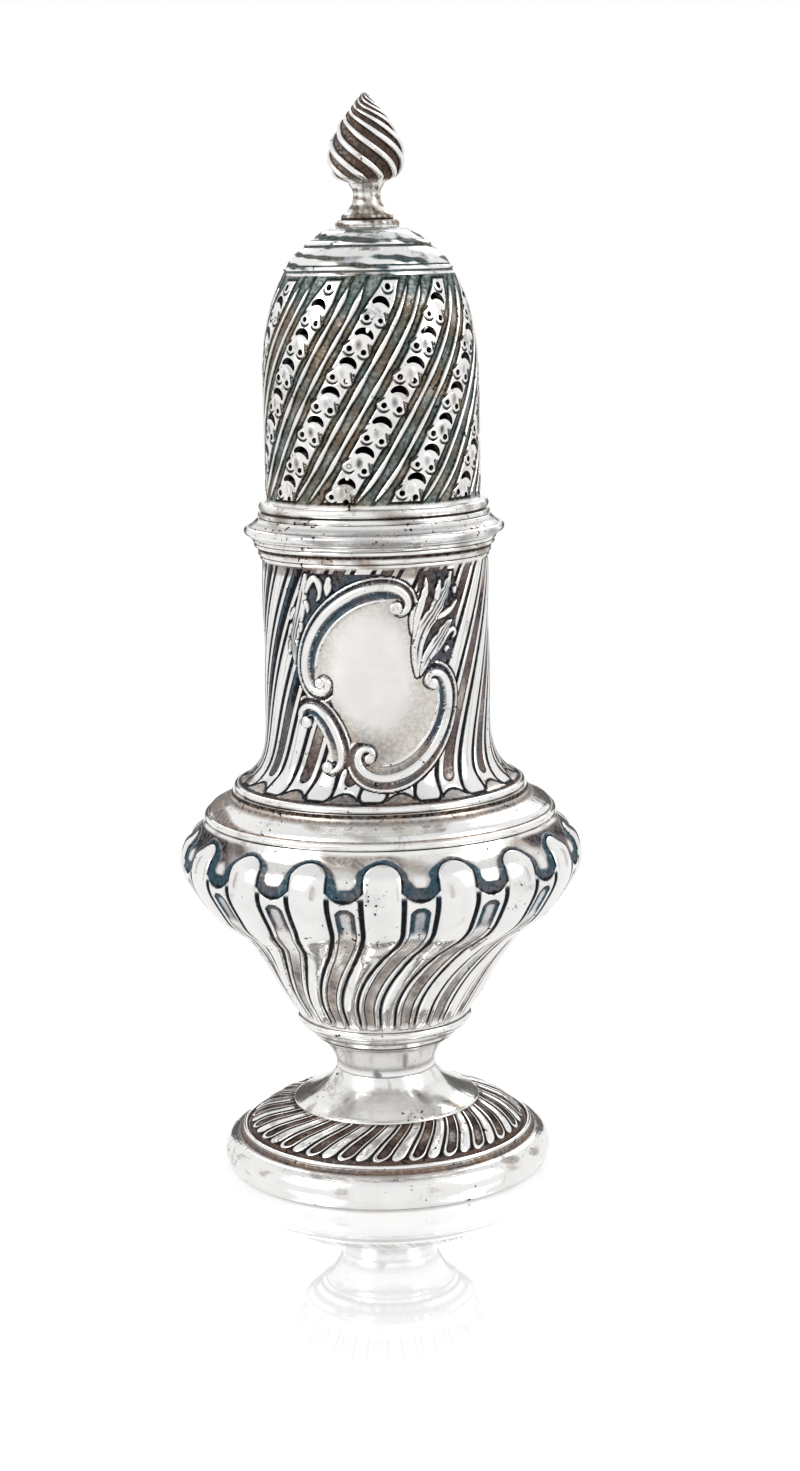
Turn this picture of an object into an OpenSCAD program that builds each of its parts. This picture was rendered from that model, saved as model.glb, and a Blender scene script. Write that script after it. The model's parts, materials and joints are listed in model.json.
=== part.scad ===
// Sugar caster in raised and chased silver: a pierced push-on cover over a fluted waist,
// a lobed bulb and a gadrooned foot.
// Millimetres, +Z up. The front, with the cartouche, faces -Y.
// The origin is the centre of the ring on which the foot rests.

/* [Foot and stem] */
// Height of the seat on the foot rim
foot_rim_h = 7; // [6:0.1:10]
// Width of the plain rim outside the gadroons
foot_rim_w = 4.8; // [4.2:0.1:8]
// Rise of the gadrooned part of the foot
foot_dome_h = 5.4; // [4.5:0.1:8]
// Radius of the gadrooned part where it meets the rim
foot_dome_r = 28; // [26:0.1:34]
// Number of gadroons
gadroons = 24; // [16:1:32]
// Rise of the plain lower half of the stem
stem_foot_h = 6.9; // [5.5:0.1:10]
// Radius of the edge where the stem meets the gadroons
stem_foot_r = 18.6; // [16.5:0.1:20]
// Radius of the stem at its seam
stem_r = 9.9; // [8:0.1:11.5]
// Rise of the upper half of the stem
stem_cup_h = 6.7; // [5:0.1:9]
// Radius of the upper half of the stem under the base ring
stem_cup_r = 13.5; // [12:0.1:15]
// Height of the ring under the bulb
base_ring_h = 5; // [4:0.1:7]
// Largest radius of the ring under the bulb
base_ring_r = 17.4; // [16.5:0.1:19.5]

/* [Body] */
// Height of the bulb
bulb_h = 40.2; // [34:0.1:48]
// Largest radius of the bulb
bulb_r = 39.5; // [37:0.1:44]
// Number of lobes round the bulb
bulb_lobes = 17; // [12:1:20]
// Height of the plain shoulder over the bulb
shoulder_h = 5.8; // [5:0.1:8]
// Width of the plain shoulder outside the waist
shoulder_w = 6; // [5:0.1:8]
// Height of the fluted waist
waist_h = 45.3; // [40:0.1:54]
// Radius of the waist where it flares onto the shoulder
waist_foot_r = 28; // [26:0.1:30]
// Number of flutes round the waist
waist_flutes = 15; // [10:1:20]
// Height of the moulding round the mouth
neck_h = 4; // [3:0.1:6]
// Bore of the mouth, as a radius
mouth_r = 20; // [18:0.1:22]
// Thickness of the sheet
wall = 0.9; // [0.7:0.05:1.2]

/* [Cover] */
// Gap between the mouth and the cover standing on it
cover_gap = 0.2; // [0.1:0.05:0.5]
// Radial clearance of the bezel in the mouth
bezel_clearance = 0.08; // [0.02:0.01:0.1]
// Length of bezel below the cover rim
bezel_h = 11.5; // [8:0.1:20]
// Height of the cover rim
cover_rim_h = 3.9; // [3:0.1:6]
// Width of the cover rim outside the wire at the foot of the dome
cover_rim_w = 3.1; // [2.5:0.1:5]
// Height of the pierced dome
dome_h = 45.8; // [40:0.1:54]
// Step of the dome outside the bore of the mouth
dome_step = 0.7; // [0.5:0.05:1.5]
// Number of pierced panels
panels = 10; // [6:1:12]
// Number of crescents up each panel
motifs = 7; // [4:1:8]
// Turn of the panels from the foot of the dome to its top, in degrees
panel_turn = 69; // [0:1:90]
// Height of the plain stepped crown
crown_h = 8.7; // [7:0.1:12]
// Radius of the crown where it meets the dome
crown_r = 16.5; // [14.5:0.1:17.5]
// Height of the turned foot of the finial
spool_h = 8.3; // [7.5:0.1:11]
// Radius of the turned foot of the finial
spool_r = 6.2; // [5.5:0.1:6.6]
// Height of the flame
flame_h = 16.8; // [12:0.1:22]
// Radius of the flame
flame_r = 7; // [5:0.1:8]
// Number of ridges on the flame
flame_ridges = 9; // [6:1:14]

/* [Relief] */
// Depth of the lobes and flutes on the bulb
bulb_relief = 0.6; // [0.2:0.05:0.8]
// Depth of the flutes on the waist
waist_relief = 0.8; // [0.2:0.05:1]
// Depth of the panels and ribs on the dome
dome_relief = 0.6; // [0.2:0.05:0.8]
// Depth of the gadroons
gadroon_relief = 0.55; // [0.2:0.05:0.7]
// Height of the cartouche scrolls over the waist
scroll_relief = 0.9; // [0.4:0.05:1.2]

/* [Hidden] */
$fn = 96;

silver = [0.80, 0.80, 0.78];
silver_worn = [0.74, 0.74, 0.72];
silver_dark = [0.66, 0.67, 0.66];

// Seats, each on top of the piece below
foot_dome_z = foot_rim_h;
stem_foot_z = foot_dome_z + foot_dome_h;
stem_cup_z = stem_foot_z + stem_foot_h;
base_ring_z = stem_cup_z + stem_cup_h;
bulb_z = base_ring_z + base_ring_h;
shoulder_z = bulb_z + bulb_h;
waist_z = shoulder_z + shoulder_h;
neck_z = waist_z + waist_h;
cover_z = neck_z + neck_h + cover_gap;
dome_z = cover_z + cover_rim_h;
crown_z = dome_z + dome_h;
spool_z = crown_z + crown_h;
flame_z = spool_z + spool_h;

// Beads and half-round wires soldered over the seams
foot_bead = 0.75;
shoulder_wire = 0.7;
waist_wire = 0.65;
dome_wire_h = 2.9;
dome_wire_w = 1.1;
// The stem is a casting, a little thicker than the sheet
stem_wall = 1.2 * wall;

// Radii that follow from the piece that carries or takes each part
foot_rim_r = foot_dome_r + foot_rim_w;
shoulder_r = waist_foot_r + shoulder_w;
bulb_seat_r = base_ring_r - 0.3;
bezel_r = mouth_r - bezel_clearance;
// The waist stands clear of the bezel inside it
bezel_room = 0.2;
waist_sheet = wall + waist_relief;
waist_r = mouth_r + bezel_room + waist_sheet;
dome_r = mouth_r + dome_step;
dome_sheet = wall + 0.6 * dome_relief;
// The dome is thicker behind its wire
dome_foot_r = dome_r + 0.4;
dome_foot_sheet = 1.5 * wall;
cover_rim_r = dome_foot_r + dome_wire_w + cover_rim_w;
crown_top_r = spool_r + 0.6;
flame_foot_r = 3.4;
// Peg that holds the finial in the crown, and the flame in its foot
peg_r = 1.6;
peg_h = 2.2;
// A cut runs this far past the face it leaves through
past = 0.5;

// Points and curves

// A point at radius r and height z, at angle a from the front, to the viewer's right
function polar(r, a, z) = [r * sin(a), -r * cos(a), z];

// From 0 at lo to 1 at hi, eased at both ends
function ease(lo, hi, v) = let (t = max(0, min(1, (v - lo) / (hi - lo)))) t * t * (3 - 2 * t);

// An even count from 0 to 1 in n steps
function steps(n) = [for (i = [0 : n]) i / n];

// A smooth curve through key points, with a count of steps between neighbours
function through(keys, count) = [
    for (i = [0 : len(keys) - 2], k = [0 : count - 1])
        let (
            t = k / count,
            b = keys[i],
            c = keys[i + 1],
            a = i > 0 ? keys[i - 1] : 2 * b - c,
            d = i < len(keys) - 2 ? keys[i + 2] : 2 * c - b
        )
        b + (c - a) * t / 2 + (2 * a - 5 * b + 4 * c - d) * t * t / 2
            + (3 * b - a - 3 * c + d) * t * t * t / 2,
    keys[len(keys) - 1]
];

// An arc about c from angle a to angle b
function arc(c, r, a, b, count = 8) = [
    for (t = steps(count)) c + r * [cos(a + (b - a) * t), sin(a + (b - a) * t)]
];

// Columns of a pattern repeated round the axis: [angle, place in the period, height]
function columns(section, count) = [
    for (i = [0 : count - 1], s = section) [(i + s[0]) * 360 / count, s[0], s[1]]
];

// Solids

module turned(outline) rotate_extrude() polygon(outline);

// A half-round wire of radius w round a cylinder of radius r
module half_round(r, w) rotate_extrude() intersection() {
    translate([r, w]) circle(w);
    translate([r, 0]) square([w, 2 * w]);
}

// A closed skin over rows of points, from the bottom row to the top one
module skin(rows) {
    n = len(rows[0]);
    top = (len(rows) - 1) * n;
    polyhedron(
        points = [for (row = rows) each row],
        faces = [
            for (i = [1 : n - 2]) [0, i, i + 1],
            for (j = [0 : len(rows) - 2], i = [0 : n - 1])
                let (a = j * n + i, b = j * n + (i + 1) % n)
                each [[a, a + n, b + n], [a, b + n, b]],
            for (i = [1 : n - 2]) [top, top + i + 1, top + i]
        ]
    );
}

// Places a shape, drawn as seen from outside, on a line that points straight out of the axis
module outward(a, z) rotate(a) translate([0, 0, z]) rotate([90, 0, 0]) children();

// Foot and stem

module foot_rim() {
    h = foot_rim_h;
    seat_r = foot_dome_r - 2;
    bead_r = foot_dome_r + foot_bead;
    color(silver) turned(concat(
        [[seat_r + 2.4, 0], [foot_rim_r - 1.6, 0], [foot_rim_r - 0.7, 0.07 * h]],
        through([
            [foot_rim_r - 0.35, 0.16 * h], [foot_rim_r, 0.4 * h], [foot_rim_r - 0.4, 0.64 * h],
            [foot_rim_r - 1.3, 0.8 * h], [foot_rim_r - 2.6, 0.886 * h], [bead_r + 0.7, 0.93 * h]
        ], 3),
        arc([bead_r, h], foot_bead, -25, 180),
        [[seat_r, h], [seat_r, h - 1.2 * wall], [seat_r + 1.6, h - 1.8 * wall]]
    ));
}

// A gadroon: a full lobe between narrow edges, then a hollow
gadroon = [[-0.5, -1], [-0.3, 0.45], [-0.23, -0.25], [0, 1], [0.23, -0.25], [0.3, 0.45]];
// The gadroons lean to the viewer's right as they rise
gadroon_start = 2.5;
gadroon_lean = 15.2;

module foot_dome() {
    inner_r = stem_foot_r - 1.2;
    outline = through([
        [foot_dome_r, 0], [foot_dome_r - 0.6, 0.24 * foot_dome_h],
        [(foot_dome_r + stem_foot_r) / 2 + 0.8, 0.68 * foot_dome_h], [stem_foot_r + 0.8, foot_dome_h]
    ], 2);
    last = len(outline) - 1;
    color(silver_dark) translate([0, 0, foot_dome_z]) difference() {
        skin([
            for (i = [0 : last])
                let (
                    t = i / last,
                    rise = gadroon_relief * ease(0, 0.3, t) * (1 - ease(0.8, 1, t))
                )
                [
                    for (c = columns(gadroon, gadroons))
                        let (swell = rise * c[2] * [0.5, 0.85], p = outline[i] + swell)
                        polar(p[0], c[0] + gadroon_start + gadroon_lean * t, p[1])
                ]
        ]);
        turned([
            [0, -past], [foot_dome_r - 1.6, -past], [foot_dome_r - 1.6, 0.2], [foot_dome_r - 3.4, 1.0],
            [inner_r + 3.4, foot_dome_h - 2.6], [inner_r, foot_dome_h - 1.3], [inner_r, foot_dome_h + past],
            [0, foot_dome_h + past]
        ]);
    }
}

module stem_foot() {
    skirt = through([
        [stem_foot_r, 0.1 * stem_foot_h], [stem_foot_r - 3.4, 0.3 * stem_foot_h],
        [stem_r + 2, 0.62 * stem_foot_h], [stem_r, stem_foot_h]
    ], 4);
    last = len(skirt) - 1;
    color(silver) translate([0, 0, stem_foot_z]) turned(concat(
        [[stem_foot_r - 1.2, 0], [stem_foot_r, 0]],
        skirt,
        [for (i = [last : -1 : 1]) skirt[i] - [wall, i == last ? 0 : 0.6 * wall]]
    ));
}

module stem_cup() {
    flare = stem_cup_r - stem_r;
    bell = through([
        [stem_r, 0], [stem_r + 0.03 * flare, 0.25 * stem_cup_h], [stem_r + 0.29 * flare, 0.55 * stem_cup_h],
        [stem_r + 0.67 * flare, 0.85 * stem_cup_h], [stem_cup_r, stem_cup_h]
    ], 3);
    color(silver_worn) translate([0, 0, stem_cup_z]) turned(concat(
        bell,
        [for (i = [len(bell) - 1 : -1 : 0]) bell[i] - [stem_wall, 0]]
    ));
}

module base_ring() {
    flare = base_ring_r - stem_cup_r;
    color(silver) translate([0, 0, base_ring_z]) turned(concat(
        [[stem_cup_r - stem_wall, 0]],
        through([
            [stem_cup_r, 0], [stem_cup_r + 0.54 * flare, 0.42 * base_ring_h],
            [base_ring_r, 0.78 * base_ring_h], [bulb_seat_r, base_ring_h]
        ], 4),
        [[stem_cup_r - stem_wall, base_ring_h]]
    ));
}

// Body

// A period of fluting: a full lobe, a groove, a fillet and a hollow
fluting = [
    [-0.5, -1], [-0.33, 0.45], [-0.25, -0.7], [-0.15, 0.5], [0, 1], [0.15, 0.5], [0.25, -0.7], [0.33, 0.45]
];
// The lobes of the bulb hang straight from the shoulder and then sweep round to the base ring
bulb_lean = 19.5;
bulb_keys = [
    [bulb_seat_r, 0], [0.511 * bulb_r, 0.124 * bulb_h], [0.618 * bulb_r, 0.311 * bulb_h],
    [0.797 * bulb_r, 0.498 * bulb_h], [0.922 * bulb_r, 0.622 * bulb_h], [bulb_r, 0.81 * bulb_h],
    [0.932 * bulb_r, 0.928 * bulb_h], [shoulder_r + 1, bulb_h]
];
lobe_top = 0.95;
flute_top = 0.8;

module lower_body() {
    outline = through(bulb_keys, 2);
    inside = through(bulb_keys, 3);
    sheet = wall + 1.5 * bulb_relief;
    color(silver) translate([0, 0, bulb_z]) difference() {
        skin([
            for (p = outline)
                let (t = p[1] / bulb_h, lean = -bulb_lean * (1 - ease(0.1, 0.62, t)))
                [
                    for (c = columns(fluting, bulb_lobes))
                        let (
                            top = abs(c[1]) < 0.2 ? lobe_top : flute_top,
                            rise = ease(0, 0.05, t) * (1 - ease(top - 0.05, top + 0.04, t))
                        )
                        polar(p[0] - (1 - c[2]) * bulb_relief * rise, c[0] + lean, p[1])
                ]
        ]);
        turned(concat(
            [[0, wall]],
            [for (p = inside) if (p[1] > wall && p[1] < bulb_h) p - [sheet, 0]],
            [[shoulder_r - 1, bulb_h], [shoulder_r - 1, bulb_h + past], [0, bulb_h + past]]
        ));
    }
}

module shoulder_wire_lower() {
    color(silver) translate([0, 0, shoulder_z]) half_round(shoulder_r, shoulder_wire);
}

module shoulder_band() {
    rim_r = waist_foot_r + waist_wire;
    slope = shoulder_r - rim_r;
    cyma = through([
        [shoulder_r, 2 * shoulder_wire], [shoulder_r - 0.13 * slope, 0.42 * shoulder_h],
        [rim_r + 0.56 * slope, 0.57 * shoulder_h], [rim_r + 0.22 * slope, 0.74 * shoulder_h],
        [rim_r + 0.075 * slope, shoulder_h]
    ], 3);
    color(silver) translate([0, 0, shoulder_z]) turned(concat(
        [[shoulder_r - 1, 0], [shoulder_r, 0]],
        cyma,
        [[waist_foot_r - 2 * wall, shoulder_h], [waist_foot_r - 2 * wall, shoulder_h - wall]],
        [for (i = [len(cyma) - 4 : -1 : 0]) cyma[i] - [1.3 * wall, wall]]
    ));
}

module shoulder_wire_upper() {
    color(silver) translate([0, 0, waist_z]) half_round(waist_foot_r, waist_wire);
}

// Height over the foot of the waist at which the flare starts, and the height over which it dies away
waist_seat = 2 * waist_wire;
waist_flare = 2.9;

// Radius of the waist, without its flutes, at height z over its foot
function waist_at(z) = waist_r + (waist_foot_r - waist_r) * exp(-max(0, z - waist_seat) / waist_flare);

// The flutes rise to the viewer's right, less so on the flare
waist_start = -3.5;
waist_lean = 47;
waist_bend = 1.38;
function waist_turn(z) = waist_start + waist_lean * pow(max(0, z / waist_h), waist_bend);

// The cartouche fills the front of the waist, so it is drawn in parts of the waist's height:
// first across, as a distance round the waist from the front, and then up from the waist's foot.
// The fluting stops round it, at an upright oval.
cartouche_middle = 0.534;
cartouche_half = [0.32, 0.43];
function clear_of_cartouche(a, z) =
    let (
        across = ((a + 180) % 360 - 180) * PI / 180 * waist_r / waist_h,
        up = z / waist_h - cartouche_middle
    )
    ease(0.9, 1.02, norm([across / cartouche_half[0], up / cartouche_half[1]]));

// Direction, in degrees, of a scroll at a part u of its length.
// A scroll is [start, heading, length, sweep, curl at the start, its reach, curl at the end, its reach].
function heading(scroll, u) =
    scroll[1] + scroll[3] * u + scroll[4] * (1 - exp(-u / scroll[5])) + scroll[6] * exp((u - 1) / scroll[7]);

// Points along a scroll, laid flat
function scroll_path(scroll, n) = [
    for (i = 0, p = scroll[0]; i <= n;
         p = p + scroll[2] / n * [cos(heading(scroll, (i + 0.5) / n)), sin(heading(scroll, (i + 0.5) / n))],
         i = i + 1) waist_h * p
];

// Lays a flat point on the waist, at a height over its surface
function on_waist(p, h) = polar(waist_at(p[1]) + h, p[0] / waist_r * 180 / PI, p[1]);

large_scroll = [[0.088, 0.835], -94, 1.017, 118.5, 259.5, 0.074, 353, 0.083];
right_scroll = [[0.246, 0.508], -142.5, 0.985, -120, -291, 0.074, -335, 0.099];
small_scroll = [[-0.318, 0.348], -163.5, 0.5, 68, -322, 0.224, -213, 0.104];

// A leaf has no curls
function leaf(start, heading, length, sweep) = [start, heading, length, sweep, 0, 1, 0, 1];
leaves = [
    leaf([0.163, 0.618], 84, 0.342, -14), leaf([0.185, 0.552], 78, 0.442, -22),
    leaf([0.196, 0.563], 62, 0.254, -26), leaf([-0.424, 0.607], 76, 0.364, -8),
    leaf([-0.338, 0.795], 72, 0.163, -18), leaf([-0.196, 0.905], 84, 0.057, 0)
];
leaf_width = [0.75, 1.5, 1.1, 0.9, 0.8, 0.6];
scroll_width = [1.9, 1.7, 1.4];
eye_r = 1.05;

// A raised ridge with a rounded back along a scroll or leaf
module ridge(scroll, n, half_width, height) {
    path = scroll_path(scroll, n);
    root = 0.35;
    skin([
        for (i = [0 : n])
            let (
                u = i / n,
                w = half_width[0] + (half_width[1] - half_width[0]) * sin(180 * u),
                h = height * (0.45 + 0.55 * sin(180 * u)),
                a = heading(scroll, u),
                side = w * [-sin(a), cos(a)]
            )
            [
                on_waist(path[i] - side, -root), on_waist(path[i] + side, -root),
                on_waist(path[i] + 0.7 * side, 0.6 * h), on_waist(path[i], h),
                on_waist(path[i] - 0.7 * side, 0.6 * h)
            ]
    ]);
}

module volute_eye(p) outward(p[0] / waist_r * 180 / PI, p[1]) translate([0, 0, waist_at(p[1])]) sphere(eye_r);

module scroll(shape, n, width) {
    path = scroll_path(shape, n);
    ridge(shape, n, [0.5, width], scroll_relief);
    volute_eye(path[0]);
    volute_eye(path[n]);
}

module upper_body() {
    levels = concat(
        [0, waist_seat],
        [for (u = steps(10)) waist_seat + 0.5 + (waist_h - waist_seat - 1.2) * pow(u, 1.5)],
        [waist_h]
    );
    color(silver) translate([0, 0, waist_z]) difference() {
        union() {
            skin([
                for (z = levels)
                    let (
                        fade = ease(waist_seat + 0.4, waist_seat + 1.8, z)
                            * (1 - ease(waist_h - 1.6, waist_h - 0.8, z))
                    )
                    [
                        for (c = columns(fluting, waist_flutes))
                            let (a = c[0] + waist_turn(z), rise = fade * clear_of_cartouche(a, z))
                            polar(waist_at(z) - (1 - c[2]) * waist_relief / 2 * rise, a, z)
                    ]
            ]);
            scroll(large_scroll, 44, scroll_width[0]);
            scroll(right_scroll, 44, scroll_width[1]);
            scroll(small_scroll, 36, scroll_width[2]);
            for (i = [0 : len(leaves) - 1])
                ridge(leaves[i], 8, [0.15, leaf_width[i]], 0.75 * scroll_relief);
        }
        turned(concat(
            [[0, -past], [waist_foot_r - waist_sheet, -past]],
            [for (z = levels) [waist_at(z) - waist_sheet, z]],
            [[waist_r - waist_sheet, waist_h + past], [0, waist_h + past]]
        ));
    }
}

module neck_ring() {
    r = waist_r;
    h = neck_h;
    bead = 0.1 * h;
    edge = 0.15;
    color(silver_worn) translate([0, 0, neck_z]) turned(concat(
        [[mouth_r, 0], [r, 0]],
        arc([r, bead], bead, -60, 60),
        [[r + 0.5, 0.225 * h], [r + 0.75, 0.275 * h], [r + 0.75, 0.525 * h], [r + 1.1, 0.625 * h]],
        arc([r + 1.1, 0.725 * h], bead, -60, 60),
        [[r + 1.5, 0.85 * h], [r + 1.75, 0.925 * h], [r + 1.6, h], [mouth_r + edge, h], [mouth_r, h - edge]]
    ));
}

// Cover

module cover_rim() {
    r = cover_rim_r;
    h = cover_rim_h;
    bead = 0.2 * h;
    color(silver) translate([0, 0, cover_z]) turned(concat(
        [[bezel_r, 0], [r - 1.3, 0], [r - 1, 0.09 * h]],
        arc([r - bead, 0.36 * h], bead, -70, 65),
        [[r - 1.9, 0.82 * h], [dome_foot_r + dome_wire_w + 0.35, h], [bezel_r, h]]
    ));
}

module cover_bezel() {
    lead = 0.25;
    color(silver_worn) translate([0, 0, cover_z]) turned([
        [bezel_r - wall, -bezel_h], [bezel_r - lead, -bezel_h], [bezel_r, 2 * lead - bezel_h],
        [bezel_r, cover_rim_h], [bezel_r - wall, cover_rim_h]
    ]);
}

module dome_wire() {
    r = dome_foot_r;
    lower = 0.5;
    upper = 0.85;
    lower_r = r + dome_wire_w - 0.2;
    upper_r = r + dome_wire_w - 0.75;
    color(silver) translate([0, 0, dome_z]) turned(concat(
        [[r, 0], [lower_r, 0]],
        arc([lower_r, lower], lower, -90, 70),
        [[upper_r, 2 * lower + 0.1]],
        arc([upper_r, dome_wire_h - upper], upper, -70, 90),
        [[r, dome_wire_h]]
    ));
}

// A period of the dome: a pierced panel, a groove, a rib, a hollow, a rib and a groove
panel = [[-0.2, 0.3], [0, 0.6], [0.2, 0.3], [0.28, -0.8], [0.36, 1], [0.495, -1], [0.63, 1], [0.71, -0.8]];
// The panels start at the front, to the viewer's left
panel_start = -20;
panel_foot = dome_wire_h + 1.1;
panel_top = dome_h - 2.2;
function panel_angle(z) = panel_start + panel_turn * (z - panel_foot) / (panel_top - panel_foot);

// Radius of the dome, without its ribs, at height z over its foot
function dome_at(z) = dome_r - (dome_r - crown_r) * pow(max(0, z / dome_h - 0.48) / 0.52, 2.9);

// Round holes in each panel
hole_r = 0.55;

// A crescent with its horns down, the right one lower
module crescent() rotate(-14) difference() {
    translate([0, -0.75]) circle(1.65);
    translate([0, -1.75]) circle(1.75);
}

// Cuts a shape through the sheet of the dome
pierce_depth = 5;
module piercing(a, z) outward(a, z) translate([0, 0, dome_at(z) - pierce_depth / 2])
    linear_extrude(pierce_depth) children();

module cover_dome() {
    pitch = (panel_top - panel_foot - 1.6) / motifs;
    inside = [for (u = steps(16)) u * dome_h];
    levels = concat(
        [0, dome_wire_h, dome_wire_h + 0.6],
        [for (u = steps(11)) panel_foot + u * (panel_top - panel_foot)],
        [dome_h - 1, dome_h]
    );
    color(silver_dark) translate([0, 0, dome_z]) difference() {
        skin([
            for (z = levels)
                let (
                    fade = ease(panel_foot - 0.6, panel_foot + 1, z)
                        * (1 - ease(panel_top - 1.5, panel_top, z)),
                    r = z <= dome_wire_h ? dome_foot_r : dome_at(z)
                )
                [
                    for (c = columns(panel, panels))
                        polar(r + dome_relief * fade * c[2] / 2, c[0] + panel_angle(z), z)
                ]
        ]);
        turned(concat(
            [
                [0, -past], [dome_foot_r - dome_foot_sheet, -past],
                [dome_foot_r - dome_foot_sheet, dome_wire_h]
            ],
            [for (z = inside) if (z > dome_wire_h + 1) [dome_at(z) - dome_sheet, z]],
            [[crown_r - dome_sheet, dome_h + past], [0, dome_h + past]]
        ));
        for (p = [0 : panels - 1]) {
            turn = p * 360 / panels;
            for (m = [0 : motifs - 1]) {
                z = panel_foot + 4.2 + m * pitch;
                piercing(turn + panel_angle(z) - 1.2, z) crescent();
                piercing(turn + panel_angle(z - 2.1) - 3.6, z - 2.1) circle(hole_r);
                piercing(turn + panel_angle(z - 3) + 4.6, z - 3) circle(hole_r);
            }
            piercing(turn + panel_angle(panel_top), panel_top + 0.2) circle(hole_r + 0.1);
        }
    }
}

module cover_crown() {
    r = crown_r;
    h = crown_h;
    bead = 0.45;
    foot_sheet = 1.3 * wall;
    color(silver_worn) translate([0, 0, crown_z]) difference() {
        turned(concat(
            [[r - foot_sheet, 0], [r, 0], [r - 0.4, 0.086 * h]],
            arc([r - 0.75, 0.138 * h], bead, -50, 60),
            through([[r - 0.9, 0.2 * h], [r - 1.35, 0.3 * h], [r - 2.5, 0.46 * h], [r - 4.2, 0.6 * h]], 3),
            arc([r - 4.85, 0.655 * h], bead, -30, 80),
            through([
                [r - 5.6, 0.735 * h], [r - 7, 0.885 * h], [(r - 7 + crown_top_r) / 2, 0.96 * h],
                [crown_top_r, h]
            ], 3),
            [[0, h], [0, h - wall], [crown_top_r, h - wall]],
            through([
                [r - 7.4, 0.735 * h], [r - 6, 0.56 * h], [r - 3.8, 0.37 * h], [r - 2.2, 0.16 * h],
                [r - foot_sheet, 0]
            ], 2)
        ));
        translate([0, 0, h - peg_h]) cylinder(r = peg_r, h = peg_h + past);
    }
}

module finial_spool() {
    neck_r = 2.55;
    h = spool_h;
    color(silver) translate([0, 0, spool_z]) difference() {
        turned(concat(
            [[0, -peg_h], [peg_r, -peg_h], [peg_r, 0], [spool_r - 0.8, 0]],
            arc([spool_r - 0.8, 0.8], 0.8, -90, 80),
            arc([spool_r - 1.7, 2.3], 0.65, -50, 80),
            through([
                [neck_r + 1.55, 0.385 * h], [neck_r + 0.55, 0.505 * h], [neck_r + 0.1, 0.625 * h],
                [neck_r, 0.735 * h], [neck_r + 0.1, 0.855 * h], [flame_foot_r, h]
            ], 3),
            [[0, h]]
        ));
        translate([0, 0, h - peg_h]) cylinder(r = peg_r, h = peg_h + past);
    }
}

// A ridge of the flame and the hollow beside it
ember = [[-0.5, -1], [-0.14, 0.6], [0, 1], [0.14, 0.6]];
// The ridges wind to the viewer's left as they rise, against the turn of the dome
flame_turn = -180;
flame_tip_turn = -75;
flame_tip_r = 0.25;

module finial_flame() {
    outline = through([
        [flame_foot_r, 0], [0.86 * flame_r, 0.1 * flame_h], [flame_r, 0.33 * flame_h],
        [0.84 * flame_r, 0.53 * flame_h], [0.54 * flame_r, 0.76 * flame_h], [0.24 * flame_r, 0.92 * flame_h],
        [flame_tip_r, flame_h]
    ], 2);
    color(silver_dark) translate([0, 0, flame_z]) {
        skin([
            for (p = outline)
                let (
                    t = p[1] / flame_h,
                    rise = 0.1 * p[0] * ease(0, 0.12, t) * (1 - ease(0.9, 1, t)),
                    turn = flame_turn * t + flame_tip_turn * pow(t, 4)
                )
                [
                    for (c = columns(ember, flame_ridges))
                        polar(p[0] - (1 - c[2]) * rise / 2, c[0] + turn, p[1])
                ]
        ]);
        translate([0, 0, -peg_h]) cylinder(r = peg_r, h = peg_h + 1);
    }
}

foot_rim();
foot_dome();
stem_foot();
stem_cup();
base_ring();
lower_body();
shoulder_wire_lower();
shoulder_band();
shoulder_wire_upper();
upper_body();
neck_ring();
cover_rim();
cover_bezel();
dome_wire();
cover_dome();
cover_crown();
finial_spool();
finial_flame();
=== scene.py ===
"""Sugar caster in chased silver: the looks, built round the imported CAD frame.

All shapes are worked out in millimetres. The front, with the cartouche, faces -Y, and angles run from
there to the viewer's right, in degrees.
"""

import json
import math

import bpy
import numpy as np
from mathutils import Matrix, Vector


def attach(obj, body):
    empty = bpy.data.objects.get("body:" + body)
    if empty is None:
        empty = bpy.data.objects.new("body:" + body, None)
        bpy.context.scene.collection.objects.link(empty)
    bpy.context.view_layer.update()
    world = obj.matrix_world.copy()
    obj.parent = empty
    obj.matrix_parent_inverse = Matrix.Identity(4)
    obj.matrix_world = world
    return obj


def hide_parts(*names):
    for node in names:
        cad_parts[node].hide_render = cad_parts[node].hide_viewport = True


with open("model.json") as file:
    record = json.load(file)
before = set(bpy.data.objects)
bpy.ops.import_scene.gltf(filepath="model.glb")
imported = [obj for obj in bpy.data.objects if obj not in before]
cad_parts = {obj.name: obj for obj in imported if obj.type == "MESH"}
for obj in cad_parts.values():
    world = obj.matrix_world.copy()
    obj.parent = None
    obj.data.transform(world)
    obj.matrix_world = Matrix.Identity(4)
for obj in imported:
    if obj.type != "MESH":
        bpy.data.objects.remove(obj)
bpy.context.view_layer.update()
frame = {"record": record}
scene = bpy.context.scene

MM = 0.001
CREASE = math.radians(50)
FAR = 1e3
BODY_OF = {node: body for body, nodes in frame["record"]["behaviour"]["bodies"].items() for node in nodes}

# Curves and noise


def unit(v):
    return np.clip(v, 0, 1)


def ease(lo, hi, v):
    t = unit((v - lo) / (hi - lo))
    return t * t * (3 - 2 * t)


def through(keys, count):
    """A smooth curve through key points, with a count of steps between neighbours."""
    keys = np.asarray(keys, float)
    k = np.vstack([2 * keys[0] - keys[1], keys, 2 * keys[-1] - keys[-2]])
    t = (np.arange(count) / count)[:, None]
    out = []
    for a, b, c, d in zip(k, k[1:], k[2:], k[3:]):
        cubic = (3 * b - a - 3 * c + d) * t**3 / 2
        out.append(b + (c - a) * t / 2 + (2 * a - 5 * b + 4 * c - d) * t**2 / 2 + cubic)
    return np.vstack(out + [keys[-1:]])


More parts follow.
